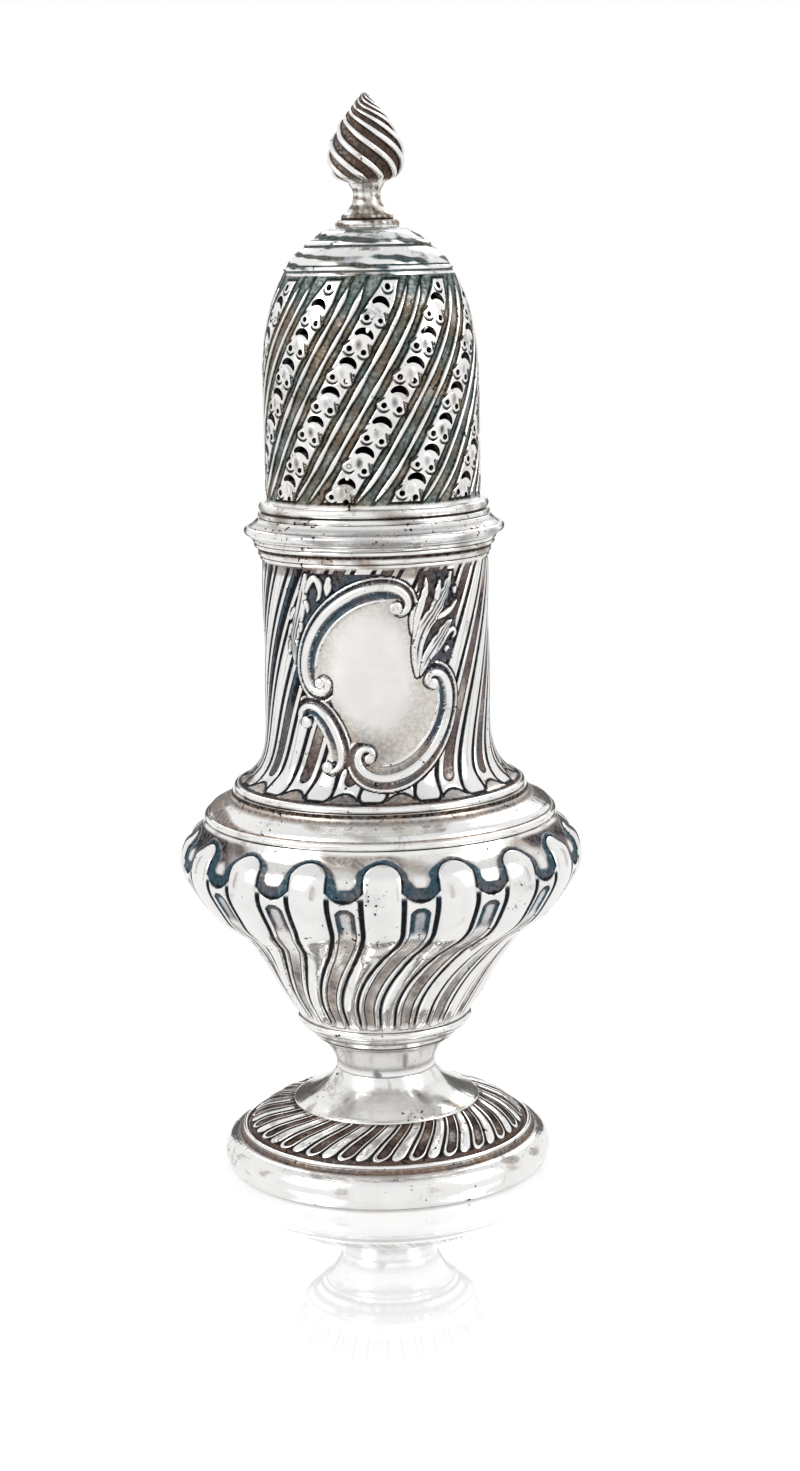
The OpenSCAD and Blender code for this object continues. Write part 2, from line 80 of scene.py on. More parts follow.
def arc(centre, radius, start, end, count=14):
    a = np.radians(np.linspace(start, end, count + 1))
    return np.asarray(centre, float) + radius * np.c_[np.cos(a), np.sin(a)]


def resample(outline, spacing):
    """The same polyline with points no further apart than the spacing."""
    pieces = []
    for p, q in zip(outline[:-1], outline[1:]):
        n = max(1, int(math.ceil(np.hypot(*(q - p)) / spacing)))
        pieces.append(p + (q - p) * (np.arange(n) / n)[:, None])
    return np.vstack(pieces + [outline[-1:]])


def run_of(path):
    """Length along a path at each of its points."""
    return np.r_[0, np.cumsum(np.hypot(*np.diff(path, axis=0).T))]


def angles_of(count):
    return np.arange(count) * 360 / count


def waviness(angle, place, size, seed):
    """Slow unevenness of hand-raised sheet, about -1 to 1, periodic round the axis."""
    draw = np.random.default_rng(seed)
    total = 0
    for _ in range(10):
        turns = draw.integers(0, 7)
        wave = draw.uniform(0.4, 1.6) / size
        total = total + np.cos(np.radians(turns * angle) + wave * place + draw.uniform(0, 6.283))
    return total / 5


def stripe(across, along, half, end, corner):
    """Signed distance to a stripe that runs up to an end with rounded corners."""
    side = across - half + corner
    over = along - end + corner
    beyond = np.hypot(np.maximum(side, 0), np.maximum(over, 0))
    return beyond + np.minimum(np.maximum(side, over), 0) - corner


def segment(x, y, start, end):
    """Distance to a straight stroke."""
    (ax, ay), (bx, by) = start, end
    dx, dy = bx - ax, by - ay
    t = unit(((x - ax) * dx + (y - ay) * dy) / (dx * dx + dy * dy))
    return np.hypot(x - ax - t * dx, y - ay - t * dy)


def bow(x, y, radius, start, end, half):
    """Signed distance to a stroke that curves about the origin. Half widths: first end, middle, last end."""
    middle, span = (start + end) / 2, abs(end - start) / 2
    turn = (np.degrees(np.arctan2(y, x)) - middle + 180) % 360 - 180
    turn = np.clip(turn, -span, span)
    a = np.radians(middle + turn)
    part = turn / span
    edge = np.where(part > 0, half[0], half[2])
    width = edge + (half[1] - edge) * (1 - part**2)
    return np.hypot(x - radius * np.cos(a), y - radius * np.sin(a)) - width


def wrapped(part):
    """Place in a period, from -0.5 to 0.5."""
    return (part + 0.5) % 1 - 0.5


def dome_of(distance, half):
    """Rounded cross-section, 1 in the middle of a form and 0 at its edge, from a signed distance."""
    return np.sqrt(unit(1 - unit(1 + distance / half) ** 2))


def ridge(distance, centre, half):
    """Rounded cross-section, 1 at the centre and 0 from half a width away."""
    return np.sqrt(unit(1 - ((distance - centre) / half) ** 2))


# Meshes


def polar(radius, angle, height):
    a = np.radians(angle)
    return np.stack(np.broadcast_arrays(radius * np.sin(a), -radius * np.cos(a), height), -1)


def placed(name, data):
    """A new object in the scene."""
    item = bpy.data.objects.new(name, data)
    scene.collection.objects.link(item)
    return item


def add_mesh(node, look, points, loops, starts, values, uv):
    """A smooth-shaded piece in place of a CAD node. Points are in mm and uv is one pair for each loop."""
    name, body = f"{node}_dressed", BODY_OF[node]
    mesh = bpy.data.meshes.new(name)
    mesh.vertices.add(len(points))
    mesh.vertices.foreach_set("co", (points * MM).astype(np.float32).ravel())
    mesh.loops.add(len(loops))
    mesh.loops.foreach_set("vertex_index", loops.astype(np.int32))
    mesh.polygons.add(len(starts))
    mesh.polygons.foreach_set("loop_start", starts.astype(np.int32))
    for key, value in values.items():
        layer = mesh.attributes.new(key, "FLOAT", "POINT")
        layer.data.foreach_set("value", value.astype(np.float32).ravel())
    mesh.uv_layers.new(name="OFBake").uv.foreach_set("vector", uv.astype(np.float32).ravel())
    mesh.update(calc_edges=True)
    mesh.shade_smooth()
    mesh.set_sharp_from_angle(angle=CREASE)
    mesh.materials.append(metal[look])
    piece = placed(name, mesh)
    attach(piece, body)
    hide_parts(node)


def normals_of(section):
    """Outward normals of a closed section that runs up its outer side."""
    t = np.roll(section, -1, 0) - np.roll(section, 1, 0)
    t /= np.maximum(np.hypot(t[:, 0], t[:, 1]), 1e-9)[:, None]
    return np.c_[t[:, 1], -t[:, 0]]


def hollow_of(section, reach=0.7):
    """How far each point of a section lies in a hollow, in mm."""
    step = np.hypot(*np.diff(section, axis=0).T).mean()
    n = max(1, int(round(reach / step)))
    pad = np.pad(section, ((n, n), (0, 0)), mode="wrap")
    mean = sum(pad[i : i + len(section)] for i in range(2 * n + 1)) / (2 * n + 1)
    return np.sum((mean - section) * normals_of(section), axis=1)


def revolve(node, look, section, count, relief, lean, tarnish, warm, satin=0):
    """Turns a section [radius, height] round the axis. Lean is by row, the rest by row and column."""
    rows = len(section)
    normal = normals_of(section)
    r = section[:, :1] + relief * normal[:, :1]
    z = section[:, 1:] + relief * normal[:, 1:]
    points = polar(r, angles_of(count) + np.reshape(lean, (-1, 1)), z).reshape(-1, 3)
    i, j = np.meshgrid(np.arange(rows), np.arange(count), indexing="ij")
    below, above, right = i * count, (i + 1) % rows * count, (j + 1) % count
    loops = np.stack([below + j, below + right, above + right, above + j], -1).reshape(-1, 4)
    length = run_of(np.vstack([section, section[:1]]))
    length /= length[-1]
    low, high = length[i], length[i + 1]
    left, far = j / count, (j + 1) / count
    uv = np.stack([left, low, far, low, far, high, left, high], -1).reshape(-1, 2)
    blank = np.zeros((rows, count))
    values = {"tarnish": tarnish + blank, "satin": satin + blank, "warm": warm + blank}
    add_mesh(node, look, points, loops.ravel(), np.arange(len(loops)) * 4, values, uv)


def patterned(outline, inner, copies, per):
    """A section up the outside and down the inside, each column's place in its copy of a pattern, and the
    width of a copy in mm.
    """
    section = np.vstack([outline, inner])
    outer = np.arange(len(section))[:, None] < len(outline)
    count = copies * per
    phase = (np.arange(count) % per) / per
    return section, outer, count, phase, math.tau * section[:, :1] / copies


# Materials

SILVER = (0.87, 0.862, 0.846, 1)
WORN_SILVER = tuple(0.94 * v for v in SILVER[:3]) + (1,)
THIN_GREY, THIN_BROWN = (0.42, 0.44, 0.46, 1), (0.5, 0.455, 0.41, 1)
MATT_LIGHT, MATT_DARK = (0.83, 0.82, 0.8, 1), (0.77, 0.75, 0.725, 1)
BLACK = (0.008, 0.008, 0.009, 1)
WHITE = (1, 1, 1, 1)


class Graph:
    """The nodes of a material or a world, made one call at a time. A call gives an output of its node."""

    def __init__(self, owner):
        owner.use_nodes = True
        self.owner = owner
        self.tree = owner.node_tree
        self.tree.nodes.clear()

    def add(self, kind, settings=None, out=0, **inputs):
        node = self.tree.nodes.new("ShaderNode" + kind)
        for key, value in (settings or {}).items():
            setattr(node, key, value)
        for key, value in inputs.items():
            by_number = key[0] == "i" and key[1:].isdigit()
            socket = node.inputs[int(key[1:]) if by_number else key.replace("_", " ")]
            if isinstance(value, bpy.types.NodeSocket):
                self.tree.links.new(value, socket)
            else:
                socket.default_value = value
        return node.outputs[out] if node.outputs else None

    def math(self, operation, a, b=0, clamp=False):
        return self.add("Math", {"operation": operation, "use_clamp": clamp}, i0=a, i1=b)

    def times(self, a, b):
        return self.math("MULTIPLY", a, b)

    def ramp(self, value, lo, hi, to_lo=0, to_hi=1):
        smooth = {"interpolation_type": "SMOOTHSTEP"}
        return self.add("MapRange", smooth, i0=value, i1=lo, i2=hi, i3=to_lo, i4=to_hi)

    def mix(self, factor, a, b):
        return self.add("Mix", {"data_type": "RGBA"}, 2, i0=factor, i6=a, i7=b)

    def noise(self, where, scale, detail, rough, distortion=0):
        look = {"Scale": scale, "Detail": detail, "Roughness": rough, "Distortion": distortion}
        return self.add("TexNoise", Vector=where, **look)

    def attribute(self, name):
        return self.add("Attribute", {"attribute_name": name}, "Fac")


def silver(name, blue, brown, stain, polish):
    """Silver with tarnished hollows and painted shade, which share one attribute. Blue and brown tint the
    tarnish and the shade, stain spots the tarnish.
    """
    g = Graph(bpy.data.materials.new(name))
    place = g.add("TexCoord", out="Object")
    hollow, satin, warm = g.attribute("tarnish"), g.attribute("satin"), g.attribute("warm")
    bare = g.math("SUBTRACT", 1, satin)
    patch = g.noise(place, 150, 6, 0.62, 0.4)
    grain = g.noise(place, 1300, 5, 0.6)
    hue = g.noise(place, 130, 4, 0.6)
    fine = g.noise(place, 5200, 3, 0.6)
    # Tarnish lies in the hollows, thinner where polishing reached, with stains and specks on the plain
    # parts; painted shade comes in through the same attribute
    broken = g.times(hollow, g.ramp(grain, 0.3, 0.7, 0.84, 1.16))
    spots = g.times(g.ramp(patch, 0.54, 0.7), stain)
    spots = g.times(spots, g.ramp(grain, 0.35, 0.6, 0.35, 1))
    layer = g.math("MAXIMUM", broken, g.times(spots, bare))
    speck = g.noise(place, 1050, 3, 0.5)
    cluster = g.noise(place, 75, 3, 0.6)
    bite = g.math("ADD", g.ramp(cluster, 0.42, 0.66, 0, 0.1), g.times(hollow, 0.06))
    pit = g.times(g.ramp(g.math("ADD", speck, bite), 0.735, 0.775), bare)
    amount = g.math("MAXIMUM", layer, pit, clamp=True)
    tint = g.math("ADD", warm, g.ramp(hue, 0.36, 0.64, -0.4, 0.4), clamp=True)
    tone = g.mix(tint, (*blue, 1), (*brown, 1))
    thin = g.mix(tint, THIN_GREY, THIN_BROWN)
    bright = g.mix(g.ramp(patch, 0.35, 0.65), SILVER, WORN_SILVER)
    colour = g.mix(g.ramp(amount, 0.02, 0.36), bright, thin)
    colour = g.mix(g.ramp(amount, 0.3, 0.66), colour, tone)
    colour = g.mix(g.ramp(amount, 0.66, 0.96), colour, BLACK)
    matt = g.mix(g.ramp(patch, 0.3, 0.7), MATT_LIGHT, MATT_DARK)
    colour = g.mix(g.times(satin, g.ramp(amount, 0, 0.4, 0.9, 0)), colour, matt)
    rough = g.math("ADD", g.ramp(amount, 0, 0.7, polish, 0.5), g.times(satin, 0.28))
    rough = g.math("ADD", rough, g.ramp(fine, 0.3, 0.7, -0.03, 0.05))
    metal = g.ramp(amount, 0.4, 0.8, 1, 0.04)
    # Unevenness of the raised sheet, fine scratches and the bite of the pits
    wave = g.noise(place, 210, 2, 0.5)
    swell = g.add("Bump", Strength=0.3, Distance=0.0005, Height=wave)
    slanted = g.add("Mapping", Vector=place, Scale=(1, 1, 0.16), Rotation=(0.35, 0.5, 0.2))
    lines = g.noise(slanted, 4200, 3, 0.7)
    skin = g.math("ADD", g.times(lines, 0.5), g.times(grain, 0.6))
    skin = g.math("SUBTRACT", skin, g.times(pit, 1.5))
    bump = g.add("Bump", Strength=0.13, Distance=0.00005, Height=skin, Normal=swell)
    look = {"Base_Color": colour, "Metallic": metal, "Roughness": rough, "Specular_IOR_Level": 0.02}
    g.add("OutputMaterial", Surface=g.add("BsdfPrincipled", Normal=bump, **look))
    return g.owner


# [bluish tarnish and shade, brownish tarnish and shade, amount of stain, roughness of the polish]
SILVERS = {
    "dome": ((0.056, 0.08, 0.07), (0.12, 0.092, 0.062), 0.42, 0.15),
    "crown": ((0.06, 0.09, 0.095), (0.14, 0.115, 0.09), 0.8, 0.14),
    "waist": ((0.048, 0.074, 0.096), (0.12, 0.088, 0.08), 0.25, 0.13),
    "bulb": ((0.03, 0.062, 0.08), (0.14, 0.112, 0.11), 0.22, 0.11),
    "plain": ((0.085, 0.088, 0.095), (0.15, 0.105, 0.08), 0.4, 0.13),
    "stem": ((0.085, 0.088, 0.095), (0.19, 0.14, 0.1), 0.42, 0.14),
    "foot": ((0.045, 0.043, 0.048), (0.092, 0.058, 0.045), 0.45, 0.14),
    "finial": ((0.05, 0.045, 0.042), (0.085, 0.056, 0.042), 0.55, 0.17),
}
metal = {name: silver(f"{name}_silver", *look) for name, look in SILVERS.items()}

# Turned pieces: sections run up the outside and down the inside


def turned(node, look, seed, parts, spacing=0.22, count=288, wobble=0.035, bands=(), film=0,
           warm=0.6, spread=(-0.5, 0.9), streak=1.6):
    """A turned piece. Bands are darkened rings [from, to, amount] by height: tarnish, except a painted
    contact shadow on the foot rim's bottom edge. Film is a patchy layer.
    """
    section = resample(np.vstack([*parts, parts[0][:1]]), spacing)[:-1]
    angles = angles_of(count)
    z = section[:, 1:]
    wave = wobble * waviness(angles, z, 9, seed)
    dark = np.clip(hollow_of(section) * 9, 0, 0.95)[:, None]
    for low, high, amount in bands:
        ring = ease(low - 0.12, low + 0.12, z) * ease(high + 0.12, high - 0.12, z)
        dark = np.maximum(dark, amount * ring)
    smear = waviness(angles, z, streak, seed + 50) + 0.6 * waviness(4 * angles, z, 3 * streak, seed + 51)
    dark = np.maximum(dark, film * ease(*spread, smear))
    revolve(node, look, section, count, wave, 0, dark, warm)


rim = 32.8
# The first band darkens the bottom edge of the rim: painted shadow where the rim stands on the floor
turned("foot_rim", "plain", 11, [
    [[28.4, 0], [rim - 1.6, 0]],
    arc((rim - 1.6, 0.9), 0.9, -90, -30, 6),
    through([[rim - 0.4, 1.1], [rim, 2.6], [rim - 0.3, 4.2], [rim - 1.05, 5.45], [rim - 2, 6.1]], 8),
    through([[30.2, 6.25], [29.6, 6.5], [29.25, 6.9], [29.1, 7.2]], 4),
    arc((28.65, 7.5), 0.42, -30, 185),
    [[26, 7], [26, 5.9], [27.6, 5.4]],
], spacing=0.18, count=360, bands=[(-0.3, 0.28, 0.44), (6.35, 7.2, 0.62)], film=0.42, spread=(0.95, 1.6),
    streak=1, warm=0.8)

skirt = through([[18.6, 13.1], [15.2, 14.5], [11.9, 16.7], [9.9, 19.3]], 14)
turned("stem_foot", "stem", 12, [
    [[17.4, 12.4], [18.6, 12.4]], arc((18.35, 12.75), 0.35, -60, 80, 6),
    skirt[2:], skirt[:1:-1] - [0.9, 0.4],
], wobble=0.05, bands=[(12.4, 12.65, 0.6)], film=0.52, spread=(0.85, 1.4))

bell = through([[9.9, 19.3], [10, 21], [10.95, 23], [12.3, 25], [13.5, 26]], 12)
turned("stem_cup", "stem", 13, [bell, bell[::-1] - [1.08, 0]], wobble=0.05,
       bands=[(19.3, 19.55, 0.5), (21.2, 21.4, 0.3), (25.6, 25.85, 0.5)], film=0.48, spread=(0.75, 1.3))

turned("base_ring", "plain", 14, [
    [[12.42, 26]],
    through([[13.5, 26], [14.1, 26.45], [14.5, 26.9], [15.6, 28], [16.9, 29]], 8),
    arc((16.75, 29.95), 0.75, -80, 75), [[17.1, 31], [12.42, 31]],
], bands=[(26.3, 26.75, 0.75), (27.6, 28.3, 0.45)])

SHOULDER_Z, SHOULDER_R = 71.2, 34
turned("shoulder_wire_lower", "plain", 15, [
    [[SHOULDER_R - 0.3, SHOULDER_Z]], arc((SHOULDER_R, SHOULDER_Z + 0.7), 0.7, -90, 90),
    [[SHOULDER_R - 0.3, SHOULDER_Z + 1.4]],
], spacing=0.15, count=360)

cyma = through([[34, 72.6], [33.3, 73.64], [31.65, 74.5], [29.83, 75.5], [29.05, 77]], 10)
turned("shoulder_band", "plain", 16, [
    [[33, 71.2], [34, 71.2]], cyma, [[26.2, 77], [26.2, 76.1]], cyma[-12::-1] - [1.17, 0.9],
], count=360, wobble=0.05, bands=[(72.6, 72.9, 0.6), (76.2, 76.95, 0.85)], film=0.54, spread=(0.2, 1),
    streak=0.8, warm=0.8)

turned("shoulder_wire_upper", "plain", 17, [
    [[27.7, 77]], arc((28, 77.65), 0.65, -90, 90), [[27.7, 78.3]],
], spacing=0.15, count=360)

neck = 21.9
turned("neck_ring", "plain", 18, [
    [[20, 122.3], [neck, 122.3]], arc((neck, 122.7), 0.4, -60, 60, 8),
    [[neck + 0.5, 123.2], [neck + 0.75, 123.4], [neck + 0.75, 124.4], [neck + 1.1, 124.8]],
    arc((neck + 1.1, 125.2), 0.4, -60, 60, 8),
    [[neck + 1.5, 125.7], [neck + 1.75, 126], [neck + 1.6, 126.3], [20.15, 126.3], [20, 126.15]],
], film=0.44, spread=(-0.1, 1), streak=0.8, warm=0.9)

rim = 25.3
turned("cover_rim", "plain", 19, [
    [[19.92, 126.5], [rim - 1.3, 126.5], [rim - 1, 126.85]], arc((rim - 0.8, 127.9), 0.8, -70, 65),
    through([[rim - 0.9, 128.75], [rim - 1.9, 129.5], [22.55, 130.4]], 6), [[19.92, 130.4]],
], count=360, film=0.42, spread=(0.2, 1.1), streak=0.8, warm=0.5)

turned("cover_bezel", "plain", 20, [
    [[19.02, 115], [19.67, 115], [19.92, 115.5], [19.92, 130.4], [19.02, 130.4]],
], wobble=0, spacing=0.8)

turned("dome_wire", "plain", 21, [
    [[21.1, 130.4], [22, 130.4]], arc((22, 130.9), 0.5, -90, 70), [[21.45, 131.5]],
    arc((21.45, 132.45), 0.85, -70, 90), [[21.1, 133.3]],
], spacing=0.15, film=0.45, spread=(-0.3, 0.9), streak=0.9, warm=0.8)

crown = 16.5
crown_inside = [
    [crown - 7.4, 182.6], [crown - 6, 181.1], [crown - 3.8, 179.4], [crown - 2.2, 177.6],
    [crown - 1.17, 176.2],
]
turned("cover_crown", "crown", 22, [
    [[crown - 1.17, 176.2], [crown, 176.2], [crown - 0.4, 176.95]],
    arc((crown - 0.75, 177.4), 0.45, -50, 60, 10),
    through([[crown - 0.9, 177.95], [crown - 1.35, 178.8], [crown - 2.5, 180.2], [crown - 4.2, 181.4]], 8),
    arc((crown - 4.85, 181.9), 0.45, -30, 80, 10),
    through([[crown - 5.6, 182.6], [crown - 7, 183.9], [8.15, 184.55], [6.8, 184.9]], 8),
    [[1.6, 184.9], [1.6, 184], [6.8, 184]],
    through(crown_inside, 5)[:-1],
], wobble=0.06, bands=[(176.7, 177, 0.8), (177.8, 178.1, 0.75), (181.3, 181.5, 0.85), (184.3, 184.9, 0.5)],
    film=0.76, spread=(-0.05, 0.65), streak=0.34, warm=0.35)

turned("finial_spool", "finial", 23, [
    [[0.5, 182.7], [1.6, 182.7], [1.6, 184.9], [5.6, 184.9], [6, 184.95]],
    arc((5.35, 185.65), 0.75, -25, 65, 10), [[4.95, 186.45]], arc((4.4, 186.95), 0.55, -20, 70, 10),
    through([
        [4.4, 187.55], [3.9, 188], [3.2, 188.9], [2.7, 189.9], [2.6, 191], [2.7, 192], [3.4, 193.2],
    ], 8),
    [[0.5, 193.2]],
], spacing=0.15, count=192, wobble=0.05, bands=[(184.9, 185, 0.8), (186.25, 186.5, 0.75)], film=0.56,
    spread=(-0.6, 0.6), streak=0.35, warm=1)

# Foot: leaning gadroons, light lobes and dark hollows with thin raised edges

GADROONS = 24
LOBE_START, HOLLOW_START = 1.45, 2.05


def gadrooned_foot():
    keys = [[28, 7], [27.4, 8.3], [24.1, 10.7], [19.4, 12.4], [18.6, 12.6]]
    outline = resample(through(keys, 26), 0.2)
    inner = np.array([[17.4, 12.4], [17.4, 11.1], [20.8, 9.8], [24.6, 8], [26.4, 7.2], [26.4, 7]])
    section, outer, count, part, period = patterned(outline, resample(inner, 1.2), GADROONS, 60)
    r = section[:, :1]
    along = run_of(section)[:, None]
    # Round the period from the middle of the full lobe: black line, raised edge, hollow, thinner edge
    lobe_half = 0.184 * period
    lobe = stripe(np.abs(wrapped(part)) * period, -along, lobe_half, -LOBE_START, lobe_half)
    cell_half = 0.224 * period
    cell = stripe(np.abs(part - 0.51) * period, -along, cell_half, -LOBE_START, cell_half)
    hollow_half = 0.164 * period
    hollow = stripe(np.abs(part - 0.525) * period, -along, hollow_half, -HOLLOW_START, hollow_half)
    edge = ease(0.06, -0.06, cell) * ease(-0.06, 0.06, hollow)
    bowl = unit(-hollow / hollow_half)
    fade = ease(0.2, 0.8, along)
    relief = fade * (-0.1 + 0.22 * dome_of(lobe, lobe_half) + 0.1 * edge - 0.08 * np.sqrt(bowl))
    gap = ease(-0.18, 0, lobe) * ease(-0.06, 0.04, cell)
    low = ease(2, 1.3, along)
    mottle = waviness(angles_of(count), along, 1.2, 61)
    dark = np.maximum.reduce([
        (0.95 - 0.28 * low) * gap,
        ease(0.14, -0.02, hollow) * (0.68 + 0.16 * mottle + 0.24 * ease(0.6, 0, bowl)),
        (0.6 + 0.22 * mottle) * ease(1.25, 0.9, along),
        (0.45 + 0.25 * mottle) * ease(19.9, 19.3, r),
        0.34 * ease(0.3, 1, mottle) * ease(0, -0.4, lobe),
    ])
    dark = np.where(outer, unit(dark - 0.3 * edge), 0.3)
    lean = 2.5 + 15.2 * np.clip((28 - section[:, 0]) / 8.6, 0, 1.1)
    warm = np.where(lobe < 0, 0.7, 0.8)
    revolve("foot_dome", "foot", section, count, np.where(outer, relief, 0), lean, dark, warm)


gadrooned_foot()

# Bulb: upright lobes below the shoulder that sweep round to the base ring

BULB_LOBES = 17
LOBE_TOP, LIP, FLUTE_TOP = 69.2, 62.4, 61.3


def lobed_bulb():
    outer_keys = [
        [17.1, 31], [20.2, 36], [24.4, 43.5], [28.3, 48.5], [31.5, 51], [34.6, 53.5], [36.6, 56.2],
        [39.1, 60.6], [39.5, 63.5], [38.6, 66.6], [36.8, 68.5], [35.4, 70], [34.9, 71.2],
    ]
    inner_keys = [
        [33, 71.2], [36.2, 66.8], [37.6, 63.5], [36.4, 59], [32, 53.2], [25.6, 48], [20.5, 41],
        [15.5, 32.6],
    ]
    outline = resample(through(outer_keys, 14), 0.27)
    inner = np.vstack([resample(through(inner_keys, 6), 2), [[11, 31.9], [0, 31.9], [0, 31]]])
    section, outer, count, phase, period = patterned(outline, inner, BULB_LOBES, 56)
    z = section[:, 1:]
    along = run_of(section)[:, None]
    angle = angles_of(count)

    def length_at(height):
        return np.interp(height, outline[:, 1], along[: len(outline), 0])

    # Distances in mm from the middle of a lobe and from the middle of the flute beside it
    part = np.abs(wrapped(phase))
    across, off = part * period, (0.5 - part) * period
    upper = ease(42, 56, z)
    lobe_half = (0.16 + 0.087 * upper) * period
    lobe = stripe(across, along, lobe_half, length_at(LOBE_TOP), lobe_half)
    # The flute's cell is edged by fillets that join in a lip, which rises to horns beside the lobes
    cell_half = (0.25 - 0.061 * upper) * period
    fillet = (0.1 - 0.055 * upper) * period
    lip = length_at(LIP) + 1.3 * (off / 3) ** 2
    cell = np.maximum(off - cell_half, along - lip)
    flute_half = cell_half - fillet
    flute = stripe(off, along, flute_half, length_at(FLUTE_TOP), flute_half)
    bowl = unit(-flute / flute_half)
    edge = np.sqrt(unit(np.minimum(-cell, flute) / 0.45))
    scoop = np.minimum(lobe, along - lip)
    edged = ease(31.2, 33, z)
    ground = edged * (1 - ease(68.8, 70.4, z))
    below = ease(63.8, 62.8, z)
    relief = -0.22 * ground + 0.54 * edged * dome_of(lobe, lobe_half) + 0.2 * edged * edge
    relief = relief - 0.2 * edged * np.sqrt(bowl) - 0.3 * ease(0, 2, scoop) * ground * (1 - below)
    # Black lines beside the lobes, teal ribbons over and between their tops, teal in each flute
    smoke = waviness(angle, z, 2.6, 71)
    rough = waviness(7 * angle, z, 0.9, 73)
    flank = np.sin(np.radians(angle)) ** 2
    wall = 0.04 + 0.14 * upper
    gap = ease(0, 0.16, lobe + wall) * ease(0, 0.14, cell + wall) * below
    width = 0.75 + ease(69.3, 67.4, z) + 0.9 * ease(65.8, 64.2, z)
    width = width * (1 + 0.2 * smoke + 0.28 * rough)
    ribbon = ease(-0.08, 0.05, scoop) * ease(width + 0.8, width - 0.2, scoop) * ease(70.7, 69.7, z)
    line = ease(-0.05, 0.05, scoop) * ease(0.6, 0.28, scoop)
    within = ease(width, width + 0.5, scoop)
    pillow = ease(1.9, 0.7, np.hypot(off, 0.8 * (along - length_at(66))))
    mauve = ease(-0.4, 0.5, smoke + 0.3 * rough + 0.6 * flank) * (0.46 + 0.3 * flank) + 0.14
    mauve = mauve * within * ease(71, 70.2, z) * (1 - 0.85 * pillow)
    depth = -flute
    arch = ease(0, 0.1, depth) * ease(54, 56.5, z)
    arch = arch * (0.72 - 0.5 * ease(0.7, 1.5, depth) * ease(-0.5, 0.5, smoke))
    seam = ease(0, 0.08, depth) * ease(0.5, 0.2, depth)
    low = ease(57, 52, z)
    dark = np.maximum.reduce([
        0.98 * gap, (0.68 + 0.1 * smoke) * ribbon, 0.94 * line * ribbon, mauve, arch, 0.92 * seam,
        (0.36 + 0.28 * smoke + 0.12 * rough) * ease(0.2, 0.6, depth) * low,
    ])
    dark = np.where(outer, dark * edged, 0.3)
    warm = np.where(within > 0.5, 1, np.where(cell < 0, 0.25 + 0.7 * low, 0.1 + 0.6 * low))
    lean = -19.5 * (1 - ease(35, 56, section[:, 1])) + 0.5
    revolve("lower_body", "bulb", section, count, np.where(outer, relief, 0), lean, dark, warm)


lobed_bulb()

# Waist: slanting flutes round a blank cartouche with scrolls and leaves

WAIST_Z, WAIST_H, WAIST_R, WAIST_WALL = 77, 45.3, 21.9, 1.7
FLUTES = 15
LOBE_FOOT, CELL_FOOT, CHANNEL_FOOT = 78.9, 80.3, 81.3


def waist_radius(z):
    return WAIST_R + 6.1 * np.exp(-np.maximum(0, z - WAIST_Z - 1.3) / 2.9)


def scroll_path(start, heading, length, sweep, curl_in, reach_in, curl_out, reach_out, count=420):
    """A scroll laid flat, in mm. Lengths are parts of the waist's height, and it curls in at both ends."""
    u = (np.arange(count) + 0.5) / count
    curls = curl_in * (1 - np.exp(-u / reach_in)) + curl_out * np.exp((u - 1) / reach_out)
    a = np.radians(heading + sweep * u + curls)
    steps = np.c_[np.cos(a), np.sin(a)] * length / count
    path = np.vstack([start, start + np.cumsum(steps, 0)])
    return path * WAIST_H + [0, WAIST_Z]


def nearest(path, x, z, reach):
    """Distance from flat points to a path, positive to its left, and the part of its length there."""
    flat = np.c_[x.ravel(), z.ravel()]
    distance, place = np.full(len(flat), FAR), np.zeros(len(flat))
    lo, hi = path.min(0) - reach, path.max(0) + reach
    near = np.flatnonzero(np.all((flat > lo) & (flat < hi), axis=1))
    tangent = np.gradient(path, axis=0)
    for part in np.array_split(near, max(1, len(near) // 15000)):
        gap = flat[part][:, None] - path[None]
        k = np.argmin(np.einsum("ijk,ijk->ij", gap, gap), axis=1)
        d = flat[part] - path[k]
        side = np.sign(tangent[k, 0] * d[:, 1] - tangent[k, 1] * d[:, 0])
        distance[part] = side * np.hypot(d[:, 0], d[:, 1])
        place[part] = k / (len(path) - 1)
    return distance.reshape(x.shape), place.reshape(x.shape)


def put(surface, where, **values):
    """Sets fields of a surface where a mask holds."""
    for key, value in values.items():
        surface[key] = np.where(where, value, surface[key])


def inside(polygon, x, y):
    result = np.zeros(x.shape, bool)
    for (x0, y0), (x1, y1) in zip(polygon, np.roll(polygon, -1, 0)):
        at = x0 + (y - y0) / (y1 - y0 + 1e-12) * (x1 - x0)
        result ^= ((y0 > y) != (y1 > y)) & (x < at)
    return result


def flat_of(points):
    """Points given as (degrees from the front, height), laid flat."""
    points = np.asarray(points, float)
    return np.c_[np.radians(points[:, 0]) * WAIST_R, points[:, 1]]


LARGE = scroll_path((0.088, 0.835), -94, 1.017, 118.5, 259.5, 0.074, 353, 0.083)
RIGHT = scroll_path((0.246, 0.508), -142.5, 0.985, -120, -291, 0.074, -335, 0.099)
SMALL = scroll_path((-0.318, 0.348), -163.5, 0.5, 68, -322, 0.224, -213, 0.104)
# [path, hollow side, half width, end of the hollow, middle of the inner rim and of the outer rim, eye sizes]
SCROLLS = [
    (LARGE, 1, 0.92, 2.22, 2.52, 1.72, (1.28, 1.08)),
    (RIGHT, -1, 0.9, 2.1, 2.38, 1.98, (1.16, 1)),
    (SMALL, -1, 0.74, 1.85, 2.12, 1.9, (1.22, 1.12)),
]
